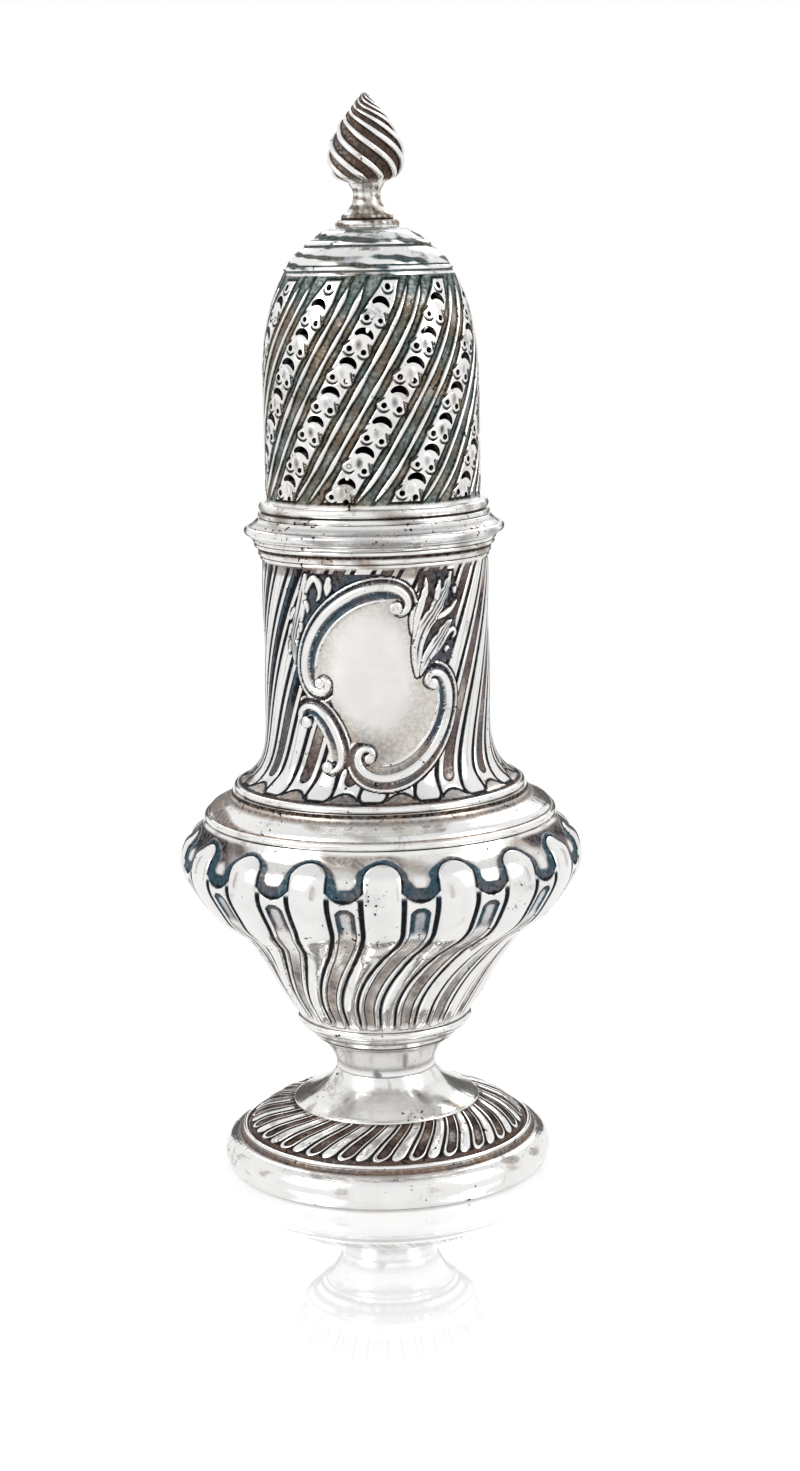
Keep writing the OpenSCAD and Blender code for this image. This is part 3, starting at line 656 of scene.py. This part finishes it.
# Leaves and sprigs: [points as (degrees, height), half width]
LEAVES = [
    ([(18.9, 108), (20.9, 112.3), (23.9, 115.6), (26.3, 118.2), (26.2, 120.3)], 0.78),
    ([(17.9, 109.8), (18.2, 112.8), (20.2, 115.4), (22.6, 118)], 0.46),
    ([(20.7, 101.8), (20.6, 105), (21.8, 108.2), (25.2, 111), (30, 113.3), (35, 116), (38.6, 118.3),
      (40.9, 120.8)], 1.4),
    ([(31.4, 114.4), (33, 117.2), (34.2, 119.8)], 0.62),
    ([(31, 112.2), (36.5, 113), (41, 114), (44.8, 115.6)], 0.6),
    ([(43, 116.8), (44, 118.2)], 0.5),
    ([(22.2, 102), (25.4, 104.6), (30, 106.9), (34.6, 109), (38.2, 110.8), (40.8, 111.8)], 1.15),
    ([(30, 105.3), (34, 107.2), (38, 109.2), (42, 110), (43.3, 109.2), (41, 108.2)], 0.52),
    ([(36.4, 105.9), (38, 106.6), (39.2, 106.3)], 0.45),
    ([(-36.6, 121), (-38.4, 117.6), (-40.4, 114.6), (-43, 111.6), (-45, 108.8), (-45.4, 106.4),
      (-44.4, 104)], 1.2),
    ([(-41.6, 114.2), (-44.8, 113.8), (-47.4, 112.2)], 0.7),
    ([(-43.8, 111.4), (-46.8, 110.8), (-48.8, 109)], 0.66),
    ([(-45, 108.6), (-47.4, 107.6), (-48.4, 105.8)], 0.6),
    ([(-42.4, 112.4), (-40.4, 111.4), (-40.4, 109.8)], 0.6),
    ([(-45, 108.8), (-43, 107.8), (-42.6, 106.2)], 0.52),
    ([(-39, 116.6), (-36.2, 115.2), (-35.4, 113.8)], 0.62),
    ([(-37.4, 117), (-34.8, 119.2), (-31.8, 120.4), (-29, 119.4), (-28.4, 117.4), (-30, 116)], 0.72),
    ([(-24.4, 117.4), (-23.8, 119.2), (-23.2, 120.8)], 0.85),
]
RIGHT_GROUND = [
    (20.3, 101.2), (18.6, 106), (17.2, 111), (17.6, 114), (21.5, 118), (22.5, 121.4), (43, 121.4), (46, 117),
    (44, 109.5), (41, 104.5), (33, 103.6),
]
LEFT_GROUND = [
    (-44.2, 104.4), (-46.6, 108.4), (-43.4, 113.2), (-40, 118), (-38.6, 121.2), (6, 121.2), (4, 119.2),
    (-12, 119.2), (-22, 116), (-32, 108), (-36, 103),
]


def lay_leaves(surface, x, z, field):
    """Leaves and sprigs, with dark beds round them."""
    leaf, second = np.full(x.shape, FAR), np.full(x.shape, FAR)
    blade, vein = np.zeros(x.shape), np.zeros(x.shape)
    for points, half in LEAVES:
        path = through(flat_of(points), 16)
        d, u = nearest(path, x, z, 3)
        run = u * run_of(path)[-1]
        w = half * (0.3 + 0.7 * np.sin(np.pi * unit(u) ** 0.8)) * (1 - 0.35 * ease(0.88, 1, u))
        w = w * (1 + 0.15 * np.sin(2.4 * run) * ease(0.4, 0.65, u))
        q = np.abs(d) / w
        edge = np.abs(d) - w
        second = np.where(edge < leaf, leaf, np.minimum(second, edge))
        leaf = np.minimum(leaf, edge)
        blade = np.maximum(blade, 0.55 * ridge(q, 0, 1))
        tip = ease(0.97, 0.85, u)
        line = np.exp(-((q / 0.15) ** 2)) * (half > 0.9) * ease(0.05, 0.2, u) * tip
        fork = np.exp(-(((q - 0.52) / 0.12) ** 2)) * (half > 1.1) * ease(0.35, 0.5, u) * tip
        vein = np.where(q < 1, np.maximum.reduce([vein, line, fork]), vein)
    crease = ease(0.16, 0.04, np.abs(second - leaf)) * ease(0.02, -0.04, second)
    bed = (leaf < 0.24) & (leaf >= 0)
    ink = np.where(field, np.maximum(surface["tarnish"], 0.75), 0.96)
    put(surface, bed, relief=np.minimum(surface["relief"], -0.4), tarnish=ink, satin=0)
    ink = np.maximum.reduce([0.9 * vein, 0.8 * crease, 0.6 * ease(-0.12, 0, leaf)])
    put(surface, leaf < 0, relief=-0.25 + blade - 0.15 * np.maximum(vein, crease), tarnish=ink, satin=0)


def lay_scrolls(surface, x, z, field):
    """Scrolls with rims, hollows and eyes. Each point belongs to the scroll that is nearest."""
    best = np.full(x.shape, FAR)
    low = ease(90, 86.5, z)
    for path, side, full, hollow_end, inner_rim, outer_rim, eyes in SCROLLS:
        d, u = nearest(path, x, z, 5)
        mine = np.abs(d) < best
        best = np.where(mine, np.abs(d), best)
        q = side * d
        ends = np.minimum(u, 1 - u)
        open_in, open_out = ease(0.12, 0.26, ends), ease(2.8, 4.8, ends * run_of(path)[-1])
        half = 0.7 * full + 0.3 * full * ease(0, 0.16, ends)
        rim_in = ridge(q, inner_rim, 0.34) * open_in
        rim_out = ridge(-q, outer_rim, 0.25) * open_out
        height = -0.3 + 0.9 * ridge(q, 0, half) + 0.52 * rim_in + 0.4 * rim_out
        groove = ease(half - 0.02, half + 0.14, np.abs(q))
        groove = groove * (1 - ease(0, 0.5, rim_in)) * (1 - ease(0, 0.5, rim_out))
        hollow = (q > 0) & (q < hollow_end)
        tone = 0.78 - 0.2 * ease(half + 0.1, hollow_end, q) - 0.26 * low
        tone = np.where(hollow, tone, np.where(-q > outer_rim, 0.96, 0.84 - 0.16 * low))
        tone = np.where(open_out < 0.5, 0.9, tone)
        # The ridge's flanks are darkened, leaving it white along the middle: painted shade on its rounded
        # sides
        flank = 0.6 * ease(0.68, 1, np.abs(q) / half) * (np.abs(q) < half)
        ink = np.maximum(tone * groove, flank)
        tint = np.where(hollow, 0.9 * low, 0.35 + 0.5 * low)
        reach_in = np.where(open_in > 0.02, inner_rim + 0.34, half + 0.28)
        reach_out = (half + 0.26) * (1 - open_out) + (outer_rim + 0.55) * open_out
        near = mine & (q < reach_in) & (q > -reach_out)
        put(surface, near, relief=height, tarnish=ink, warm=tint, satin=0)
        shade = 0.3 * open_in * ease(2, 0, q - reach_in) * (mine & ~near & field & (q > 0))
        surface["tarnish"] = np.maximum(surface["tarnish"], shade)
        for eye, size in zip((path[0], path[-1]), eyes):
            gap = np.hypot(x - eye[0], z - eye[1])
            ring = gap < size + 0.26
            put(surface, ring, satin=0)
            put(surface, ring & (q > 0.8 * half), tarnish=0.95)
            # The eye's button darkens towards its edge: painted shade round the raised disc
            button, edge = ridge(gap, 0, size), ease(0.88 * size, size, gap)
            put(surface, gap < size, relief=0.05 + 0.62 * button, tarnish=0.7 * edge)


def fluted_waist():
    heights = np.concatenate([np.linspace(77, 84, 44)[:-1], np.linspace(84, 122.3, 204)])
    inner_z = np.concatenate([np.linspace(122.3, 86, 10), np.linspace(84.5, 77, 8)])
    inner = np.c_[waist_radius(inner_z) - WAIST_WALL, inner_z]
    outline = np.c_[waist_radius(heights), heights]
    section, outer, count, phase, period = patterned(outline, inner, FLUTES, 58)
    turn = -3.5 + 47 * unit((section[:, 1] - WAIST_Z) / WAIST_H) ** 1.38
    theta = (angles_of(count) + turn[:, None] + 180) % 360 - 180
    z = np.repeat(section[:, 1:], count, 1)
    # Distances in mm from the middle of a lobe and from the middle of the channel beside it
    part = np.abs(wrapped(phase))
    across, off = part * period, (0.5 - part) * period
    spread = ease(83.5, 80, z)
    lobe_half = (0.166 + 0.06 * spread) * period
    lobe = stripe(across, -z, lobe_half, -LOBE_FOOT, 1)
    # The channel's cell is edged by fillets that join at its foot in a lip with horns
    cell_half = (0.236 - 0.006 * spread) * period
    channel_half = 0.134 * period
    cell = np.maximum(off - cell_half, CELL_FOOT - 0.9 * (off / cell_half) ** 2 - z)
    channel = stripe(off, -z, channel_half, -CHANNEL_FOOT, channel_half)
    bowl = unit(-channel / channel_half)
    fillet = np.sqrt(unit(np.minimum(-cell, channel) / 0.4))
    fade = ease(78.5, 79.2, z) * ease(122, 121.3, z)
    relief = fade * (-0.14 + 0.32 * dome_of(lobe, lobe_half) + 0.16 * fillet - 0.08 * np.sqrt(bowl))
    gap = ease(-0.14, 0.01, lobe + 0.1 * spread) * ease(-0.1, 0.02, cell + 0.06 * spread)
    foot = ease(80.8, 80.2, z) * ease(0.25, 0.45, np.minimum(lobe, cell))
    smoke = waviness(theta, z, 3, 81)
    seam = ease(0, 0.08, -channel) * ease(0.5, 0.2, -channel)
    # On the viewer's left the channels darken across to black, on the right the lines beside the lobes
    # widen, both painted shade and painted dark reflection
    front = 1 - ease(110, 160, np.abs(theta))
    left, right = ease(-8, -40, theta) * front, ease(25, 50, theta) * front
    patchy = ease(-0.1, 0.7, waviness(theta, z, 7, 83))
    base = ease(99, 90, z)
    deep = (0.68 + 0.14 * smoke + 0.06 * ease(98, 112, z)) * (1 - 0.5 * right * patchy)
    deep = deep * (1 - left) + (0.58 + 0.42 * ease(0.37, 0.54, phase)) * left
    deep = deep * (1 - base) + (0.62 + 0.14 * smoke) * base
    dark = np.maximum.reduce([
        0.97 * gap * (1 - foot) * ease(78.4, 78.65, z), (0.46 + 0.1 * smoke) * foot,
        0.96 * right * ease(0.715, 0.745, phase) * ease(0.86, 0.83, phase) * ease(81.5, 84, z),
        deep * ease(0.1, -0.1, channel), 0.94 * seam, 0.85 * ease(78.75, 78.6, z) * ease(78.3, 78.45, z),
    ])
    dark = np.maximum(dark * ease(122.4, 121.9, z), 0.58 * ease(119.9, 120.8, z) * ease(-0.5, 0.4, smoke))
    side_tint = 0.55 * (1 - front) + (0.15 + 0.85 * ease(-30, 25, theta)) * front
    warm = np.where(cell < 0, np.maximum(side_tint, 0.95 * base), 0.25)
    warm = np.where((z < 79.1) | (z > 120.4), 0.8, np.where(foot > 0.5, 1, warm))

    # The ground of the cartouche and of the leaves replaces the fluting
    x = np.radians(theta) * WAIST_R
    n = len(LARGE)
    link = flat_of([(-24, 97.3), (-19, 94.3), (-13.4, 89.6)])
    edge = flat_of([(20.7, 101.2), (17.2, 112)])
    border = np.vstack([LARGE[n // 9 : -n // 8], link, RIGHT[n // 8 : -n // 9][::-1], edge])
    field = inside(border, x, z)
    sprig = inside(flat_of(LEFT_GROUND), x, z)
    leafy = inside(flat_of(RIGHT_GROUND), x, z) | sprig
    dim = 0.28 * ease(0.4, 1.05, np.hypot((theta + 3) / 25, (z - 102) / 14.5))
    dim = dim + 0.16 * ease(104, 88, z) * ease(18, -10, theta)
    surface = {"relief": relief, "tarnish": dark, "warm": warm, "satin": 0}
    put(surface, field, relief=-0.12, tarnish=dim, warm=0.9, satin=1)
    put(surface, leafy, relief=-0.36, tarnish=0.74 + 0.14 * smoke, warm=np.where(sprig, 0.15, 0.6))
    lay_leaves(surface, x, z, field)
    lay_scrolls(surface, x, z, field)
    put(surface, ~outer, relief=0, tarnish=0.3, satin=0.6)
    revolve("upper_body", "waist", section, count, lean=turn, **surface)


fluted_waist()

# Dome: spiral panels pierced with crescents and holes, with ribs and channels between them

DOME_Z, DOME_H = 130.4, 45.8
DOME_FOOT, DOME_MEAN_R, DOME_WALL = 133.3, 20.5, 1.26
PANELS, MOTIFS = 10, 7
PANEL = 360 / PANELS
LEAN = 1.7
PANEL_FOOT, PANEL_TOP = 134.6, 175.3
FIRST_MOTIF, MOTIF_PITCH = 138.6, 5.48
TOP_HOLES = 174.1
# The holes below each crescent: [place, radius of the pouch round it, leaf stroke and its half width,
# scored strokes and their half width]
EYES = [
    ((-3.1, -2.7), 1.28, ((-0.8, 0.6), (0.3, 1.4)), 0.34,
     (((-1.9, 1), (0.3, 2.6)), ((-2, 0.1), (0, 1.4))), 0.13),
    ((-0.4, -3.55), 1.18, ((0.9, 1), (1.05, 0)), 0.32,
     (((0.9, 1.4), (1.15, -0.4)), ((1.4, 1.2), (1.6, 0.2))), 0.1),
]
# The dome's inside is near black: tarnish deepened with painted shade, so the piercings look dark
INSIDE_TARNISH_AND_SHADE, INSIDE_WARM = 0.95, 0.5
OUTER_UV, INNER_UV = (0, 0.6), (0.62, 0.98)


def lower(field, block, value):
    field[block] = np.minimum(field[block], value)


def pierced_sheet(heights, turn, outer_r, inner_r, holes, dark, warm):
    """The dome's grid trimmed to its piercings, with an inner face and walls round the holes."""
    rows, count = holes.shape
    keep = holes >= 0
    index = -np.ones(holes.shape, int)
    index[keep] = np.arange(keep.sum())
    level, place = np.nonzero(keep)
    # The first column again after the last one
    keep, index, depth = (np.c_[grid, grid[:, :1]] for grid in (keep, index, holes))
    cut, extra = {}, []

    def crossing(a, b):
        """The point where a hole's edge crosses the grid between two neighbours."""
        key = (a, b) if a < b else (b, a)
        if key not in cut:
            (i0, j0), (i1, j1) = key
            t = min(0.97, max(0.03, depth[key[0]] / (depth[key[0]] - depth[key[1]])))
            cut[key] = len(level) + len(extra)
            extra.append((j0 + (j1 - j0) * t, i0 + (i1 - i0) * t))
        return cut[key]

    state = sum(k.astype(int) for k in (keep[:-1, :-1], keep[:-1, 1:], keep[1:, 1:], keep[1:, :-1]))
    i, j = np.nonzero(state == 4)
    quads = np.stack([index[i, j], index[i, j + 1], index[i + 1, j + 1], index[i + 1, j]], -1)
    trimmed, rims = [], []
    for i, j in zip(*np.nonzero((state > 0) & (state < 4))):
        ring = [(i, j), (i, j + 1), (i + 1, j + 1), (i + 1, j)]
        face, ends = [], []
        for a, b in zip(ring, ring[1:] + ring[:1]):
            if keep[a]:
                face.append(index[a])
            if keep[a] != keep[b]:
                face.append(crossing(a, b))
                ends.append((face[-1], keep[a]))
        trimmed.append(np.array(face))
        if len(ends) == 2:
            rims.append([end for end, _ in (ends if ends[0][1] else ends[::-1])])
    spots = np.vstack([np.c_[place, level], np.array(extra)])
    n = len(spots)

    def at_spots(grid):
        cols = np.floor(spots[:, 0]).astype(int)
        lows = np.minimum(np.floor(spots[:, 1]).astype(int), rows - 2)
        fx, fy = spots[:, 0] - cols, spots[:, 1] - lows
        a, b = grid[lows, cols % count], grid[lows, (cols + 1) % count]
        c, d = grid[lows + 1, cols % count], grid[lows + 1, (cols + 1) % count]
        return (a * (1 - fx) + b * fx) * (1 - fy) + (c * (1 - fx) + d * fx) * fy

    z = np.interp(spots[:, 1], np.arange(rows), heights)
    theta = spots[:, 0] * 360 / count + np.interp(spots[:, 1], np.arange(rows), turn)
    points = np.vstack([polar(at_spots(outer_r), theta, z), polar(at_spots(inner_r), theta, z)])
    u0, v0 = spots[:, 0] / count, spots[:, 1] / (rows - 1)
    loops, sizes, uv = [], [], []

    def emit(ids, v_range=OUTER_UV):
        ids, (low, high) = np.atleast_2d(ids), v_range
        u, v = u0[ids % n], v0[ids % n]
        wraps = np.ptp(u, axis=1, keepdims=True) > 0.5
        u = np.where(wraps & (u < 0.5), u + 1, u)
        loops.append(ids.ravel())
        sizes.append(np.full(len(ids), ids.shape[1]))
        uv.append(np.stack([u, low + (high - low) * v], -1).reshape(-1, 2))

    emit(quads)
    for face in trimmed:
        emit(face)
    emit(quads[:, ::-1] + n, INNER_UV)
    for face in trimmed:
        emit(face[::-1] + n, INNER_UV)
    walls = np.array(rims)
    emit(np.c_[walls[:, ::-1], walls + n])
    for edge, order in ((0, 1), (rows - 1, -1)):
        a, b = index[edge, :-1], index[edge, 1:]
        emit(np.c_[b, a, a + n, b + n][:, ::order])
    starts = np.r_[0, np.cumsum(np.concatenate(sizes))[:-1]]
    values = {
        "tarnish": np.r_[at_spots(dark), np.full(n, INSIDE_TARNISH_AND_SHADE)],
        "satin": np.zeros(2 * n),
        "warm": np.r_[at_spots(warm), np.full(n, INSIDE_WARM)],
    }
    add_mesh("cover_dome", "dome", points, np.concatenate(loops), starts, values, np.vstack(uv))


def dome_motifs(heights, z, x, number, slope, band):
    """Distances to holes, scored lines and bosses, and stains. The panels' bands grow round the holes."""
    holes, scored, boss = (np.full(z.shape, FAR) for _ in range(3))
    stain = np.zeros(z.shape)
    draw = np.random.default_rng(3)
    for n in range(PANELS):
        cols = np.flatnonzero(number == n)
        for at in FIRST_MOTIF + MOTIF_PITCH * np.arange(MOTIFS):
            zc = at + draw.uniform(-0.3, 0.3)
            block = np.ix_(np.flatnonzero(np.abs(heights - zc + 1.6) < 6), cols)
            # Flat place, upright, from the motif's point: the grid leans with the panel
            up = z[block] - zc
            across = x[block] + slope * up - 0.1
            size = draw.uniform(0.93, 1.07)
            tilt = draw.uniform(-7, 7)
            crescent = bow(across + 0.41, up + 1.38, 1.78 * size, 128 + tilt, 12 + tilt, (0.4, 0.66, 0.28))
            lower(holes, block, crescent)
            lower(boss, block, np.hypot(across + 1.3, up + 1.9) / 1.15)
            smudge = np.hypot(1.3 * (across + 1.2), 0.8 * (up + 2.1))
            stain[block] = np.maximum(stain[block], draw.uniform(0.05, 0.7) * ease(1.3, 0.1, smudge))
            places = [place + draw.uniform(-0.15, 0.15, 2) for place, *_ in EYES]
            for place, (_, pouch, leaf, leaf_half, strokes, stroke_half) in zip(places, EYES):
                gx, gy = across - place[0], up - place[1]
                gap = np.hypot(gx, gy)
                if draw.random() < 0.08:
                    lower(scored, block, np.abs(gap - 0.42))
                else:
                    lower(holes, block, gap - 0.57 * draw.uniform(0.9, 1.1))
                lower(scored, block, bow(gx, gy, 1.22, 205, 318, (0.05, 0.17, 0.05)))
                lower(band, block, np.minimum(gap - pouch, segment(gx, gy, *leaf) - leaf_half))
                for stroke in strokes:
                    lower(scored, block, segment(gx, gy, *stroke) - stroke_half)
        block = np.ix_(np.flatnonzero(np.abs(heights - TOP_HOLES) < 3), cols)
        gy = z[block] - TOP_HOLES
        gx = x[block] + slope * gy
        gap = np.hypot(gx, gy)
        lower(holes, block, gap - 0.64)
        lower(band, block, gap - 1.35)
        lower(scored, block, bow(gx, gy, 1.3, 190, 330, (0.05, 0.17, 0.05)))
    return holes, scored, boss, stain


def pierced_dome():
    heights = np.concatenate([[DOME_Z, 132], np.linspace(DOME_FOOT, 176.2, 246)])
    count = PANELS * 72
    over = np.maximum(0, (heights - DOME_Z) / DOME_H - 0.48) / 0.52
    radius = np.where(heights <= DOME_FOOT, 21.1, 20.7 - 4.2 * over**2.9)
    turn = 6.9 + LEAN * (heights - 150)
    angle = angles_of(count)
    here = angle + turn[:, None]
    z = np.repeat(heights[:, None], count, 1)
    # Millimetres in a degree
    step = np.radians(DOME_MEAN_R)
    slope = LEAN * step
    square = 1 / math.hypot(1, slope)
    # Distance from the middle of the nearest panel, and the panel's number
    number = np.floor((angle + PANEL / 2) / PANEL).astype(int) % PANELS
    deg = (angle + PANEL / 2) % PANEL - PANEL / 2
    x = deg * step * np.ones_like(z)
    band = np.abs(x - 0.2) * square - 2.3 + 0.8 * ease(170.5, PANEL_TOP, z)
    holes, scored, boss, stain = dome_motifs(heights, z, x, number, slope, band)

    # The panels stop short of the wire and the crown, and two ribs with a channel run between them
    band = np.maximum(band, np.maximum(z - PANEL_TOP, PANEL_FOOT - z))
    panel = ease(0.1, -0.12, band)
    bend = -2.5 * np.clip((141 - z) / 6, 0, 1.1) ** 1.5 - 1.5 * np.clip((z - 168) / 6, 0, 1.1) ** 1.5
    g = np.where(x >= 0, x, x + PANEL * step) / step - bend
    taper = np.sqrt(unit((z - PANEL_FOOT) / 2.5) * unit((174.2 - z) / 2.5))
    uneven = 1 + 0.38 * waviness(here, z, 1.7, 43)
    rib = np.minimum(np.abs(g - 13.7), np.abs(g - 22.9)) * step * square - 0.37 * taper * uneven
    rib_body = dome_of(rib, 0.45) * (taper > 0)
    channel = unit(1 - ((g - 18.3) / 3.4) ** 2) * taper
    floor = ease(133.9, 134.8, z) * ease(175.9, 175, z)
    bulge = ridge(boss, 0, 1)
    cut = ease(0.16, 0, scored)
    lip = np.exp(-((np.clip(holes, 0, None) / 0.25) ** 2))
    relief = -0.18 * floor * (1 - panel) + panel * (0.08 + 0.12 * bulge + 0.05 * lip - 0.12 * cut)
    relief = relief + 0.36 * rib_body - 0.12 * channel
    # Bare ground between the forms, tarnished, with painted shade that turns black beside their edges
    mottle = waviness(here, z, 1.4, 45)
    shade = 0.585 + 0.11 * mottle + 0.4 * np.maximum(ease(0.8, 0.15, band), ease(0.65, 0.1, rib))
    dark = shade * (1 - panel) * ease(133.6, 134.2, z)
    dark = np.maximum(dark, panel * np.maximum(0.95 * cut, stain)) * ease(-0.16, 0.12, rib)
    warm = (0.5 + 0.4 * waviness(2 * here, z, 2.5, 41)) * ease(174, 172, z)
    inner_r = np.where(heights <= DOME_FOOT, 19.75, radius - DOME_WALL)[:, None] * np.ones((1, count))
    pierced_sheet(heights, turn, radius[:, None] + relief, inner_r, holes, dark, warm)


pierced_dome()

# Flame: bright ridges that wind to the left, with dark hollows

FLAME_RIDGES = 9


def twisted_flame():
    outline = resample(through([
        [3.4, 193.2], [5.2, 194.1], [6.1, 195], [6.85, 197], [7, 198.8], [6.6, 200.7], [5.8, 202.3],
        [4.6, 204.6], [3.5, 206.2], [2.2, 207.8], [1.2, 209], [0.5, 209.8], [0.12, 210],
    ], 8), 0.12)
    inner = [[0.1, 209.2], [0.1, 191], [1.6, 191], [1.6, 193.2]]
    section, outer, count, phase, _ = patterned(outline, inner, FLAME_RIDGES, 40)
    z = section[:, 1:]
    part = np.abs(wrapped(phase))
    crest = ridge(part, 0, 0.19)
    valley = ridge(part, 0.5, 0.31)
    depth = 0.14 * section[:, :1] * ease(193.2, 195, z) * ease(210, 208.6, z)
    relief = np.where(outer, depth * (0.5 * crest - 0.6 * valley - 0.1), 0)
    high = np.maximum(0, section[:, 1] - 196) / 9
    turn = 1.7 - 10.7 * (section[:, 1] - 193.2)
    turn = turn - 16.4 * np.minimum(high, 1.2) ** 5.5 - 205 * np.maximum(0, high - 1.2)
    # Valleys lighter on the viewer's left: a painted highlight
    painted_highlight = 0.5 + 0.5 * np.cos(np.radians(angles_of(count) + turn[:, None] + 75))
    shade = ease(0, 0.35, valley) * (0.74 - 0.18 * painted_highlight**3 + 0.24 * ease(0.29, 0.22, part))
    dark = np.where(outer, shade * ease(193.2, 194.1, z), 0.4)
    turn[len(outline):] = 0
    revolve("finial_flame", "finial", section, count, relief, turn, dark, 0.9)


twisted_flame()

# Stage, light and camera

FLOOR_HALF, FLOOR_DROP = 4, 0.00005
CARD_DISTANCE, CARD_FOOT, CARD_TOP = 0.42, 0.002, 0.2
CARD_TINT = (1, 0.95, 0.9)
# Boards on each side of the camera's axis: [degrees from straight behind, width in metres, tone]
BOARDS = [(20, 0.14, 0.12), (55, 0.03, 0.6), (86, 0.04, 0.6), (150, 0.04, 0.7)]
# The studio's tone by height, from the floor's level to straight overhead
SKY = [(0, WHITE), (0.6, WHITE), (0.8, (0.91, 0.92, 0.93, 1)), (1, (0.85, 0.86, 0.87, 1))]
AIM = Vector((0, 0, 0.1))
LENS = 62.92
CAMERA_AT = (0.0042, -0.4983, 0.1808)
PITCH, ROLL = math.radians(79.29), math.radians(-1.19)


def stage_sheet(g, name, corners):
    mesh = bpy.data.meshes.new(name)
    mesh.from_pydata(corners, [], [(0, 1, 2, 3)])
    mesh.materials.append(g.owner)
    sheet = placed(name, mesh)
    return sheet


def pale_floor():
    """White floor with a faint polish near the object, which keeps the shadow and a short reflection."""
    g = Graph(bpy.data.materials.new("floor_white"))
    place = g.add("TexCoord", out="Object")
    far = g.add("VectorMath", {"operation": "LENGTH"}, "Value", i0=place)
    front = g.add("Mapping", Vector=place, Location=(0, 0.045, 0), Scale=(1.7, 1, 1))
    ahead = g.add("VectorMath", {"operation": "LENGTH"}, "Value", i0=front)
    path = g.add("LightPath").node.outputs
    mirrored = g.math("MAXIMUM", path["Is Glossy Ray"], path["Is Transmission Ray"])
    matt = g.add("BsdfDiffuse", Color=(0.94, 0.94, 0.94, 1))
    glow = g.add("Emission", Color=WHITE, Strength=1)
    seen = g.times(path["Is Camera Ray"], g.ramp(far, 0.06, 0.22, 0.6, 1))
    white = g.math("MAXIMUM", seen, g.times(mirrored, 0.95))
    base = g.add("MixShader", i0=white, i1=matt, i2=glow)
    gloss = g.add("BsdfGlossy", Color=WHITE, Roughness=0.03)
    polish = g.ramp(ahead, -0.02, 0.08, 0.58, 0)
    g.add("OutputMaterial", Surface=g.add("MixShader", i0=polish, i1=base, i2=gloss))
    h = FLOOR_HALF
    floor = stage_sheet(g, "floor", [(-h, -h, 0), (h, -h, 0), (h, h, 0), (-h, h, 0)])
    floor.location.z = -FLOOR_DROP


def card(name, azimuth, width, tone):
    """A grey board, out of the camera's sight, that gives the polished sides an edge."""
    g = Graph(bpy.data.materials.new(name))
    g.add("OutputMaterial", Surface=g.add("Emission", Color=tone, Strength=1))
    a = math.radians(azimuth)
    centre = np.array([math.sin(a), math.cos(a)]) * CARD_DISTANCE
    aside = np.array([math.cos(a), -math.sin(a)]) * width / 2
    p, q = centre - aside, centre + aside
    board = stage_sheet(g, name, [(*p, CARD_FOOT), (*q, CARD_FOOT), (*q, CARD_TOP), (*p, CARD_TOP)])
    board.visible_camera = False
    board.visible_diffuse = False
    board.visible_shadow = False


def studio():
    """White walls and a dim ceiling."""
    scene.world = bpy.data.worlds.new("studio")
    g = Graph(scene.world)
    where = g.add("TexCoord", out="Generated")
    up = g.add("SeparateXYZ", out="Z", i0=where)
    ramp = g.add("ValToRGB", i0=up)
    stops = ramp.node.color_ramp
    stops.interpolation = "EASE"
    while len(stops.elements) < len(SKY):
        stops.elements.new(0.5)
    for element, (at, colour) in zip(stops.elements, SKY):
        element.position, element.color = at, colour
    g.add("OutputWorld", i0=g.add("Background", Color=ramp, Strength=1))


def softbox(name, location, size, power):
    light = bpy.data.lights.new(name, "AREA")
    light.shape = "RECTANGLE"
    light.size, light.size_y = size
    light.energy = power
    lamp = placed(name, light)
    lamp.location = location
    lamp.rotation_euler = (AIM - Vector(location)).to_track_quat("-Z", "Y").to_euler()


pale_floor()
studio()
for azimuth, width, tone in BOARDS:
    for side, shade in ((-1, 0.85), (1, 1)):
        colour = tuple(shade * tone * tint for tint in CARD_TINT) + (1,)
        card(f"card_{azimuth}_{side + 1}", side * azimuth, width, colour)
softbox("left_box", (-0.9, -0.55, 0.75), (0.7, 0.9), 6.5)
softbox("right_box", (0.95, -0.35, 0.7), (0.6, 0.9), 5)
softbox("back_box", (0.1, 1, 0.8), (0.9, 0.6), 4.5)

camera_data = bpy.data.cameras.new("camera")
camera_data.sensor_width = 36
camera_data.lens = LENS
camera_data.clip_start = 0.01
camera = placed("camera", camera_data)
turn = Matrix.Rotation(PITCH, 4, "X") @ Matrix.Rotation(ROLL, 4, "Z")
camera.matrix_world = Matrix.Translation(CAMERA_AT) @ turn
scene.camera = camera
scene.view_settings.view_transform = "Standard"
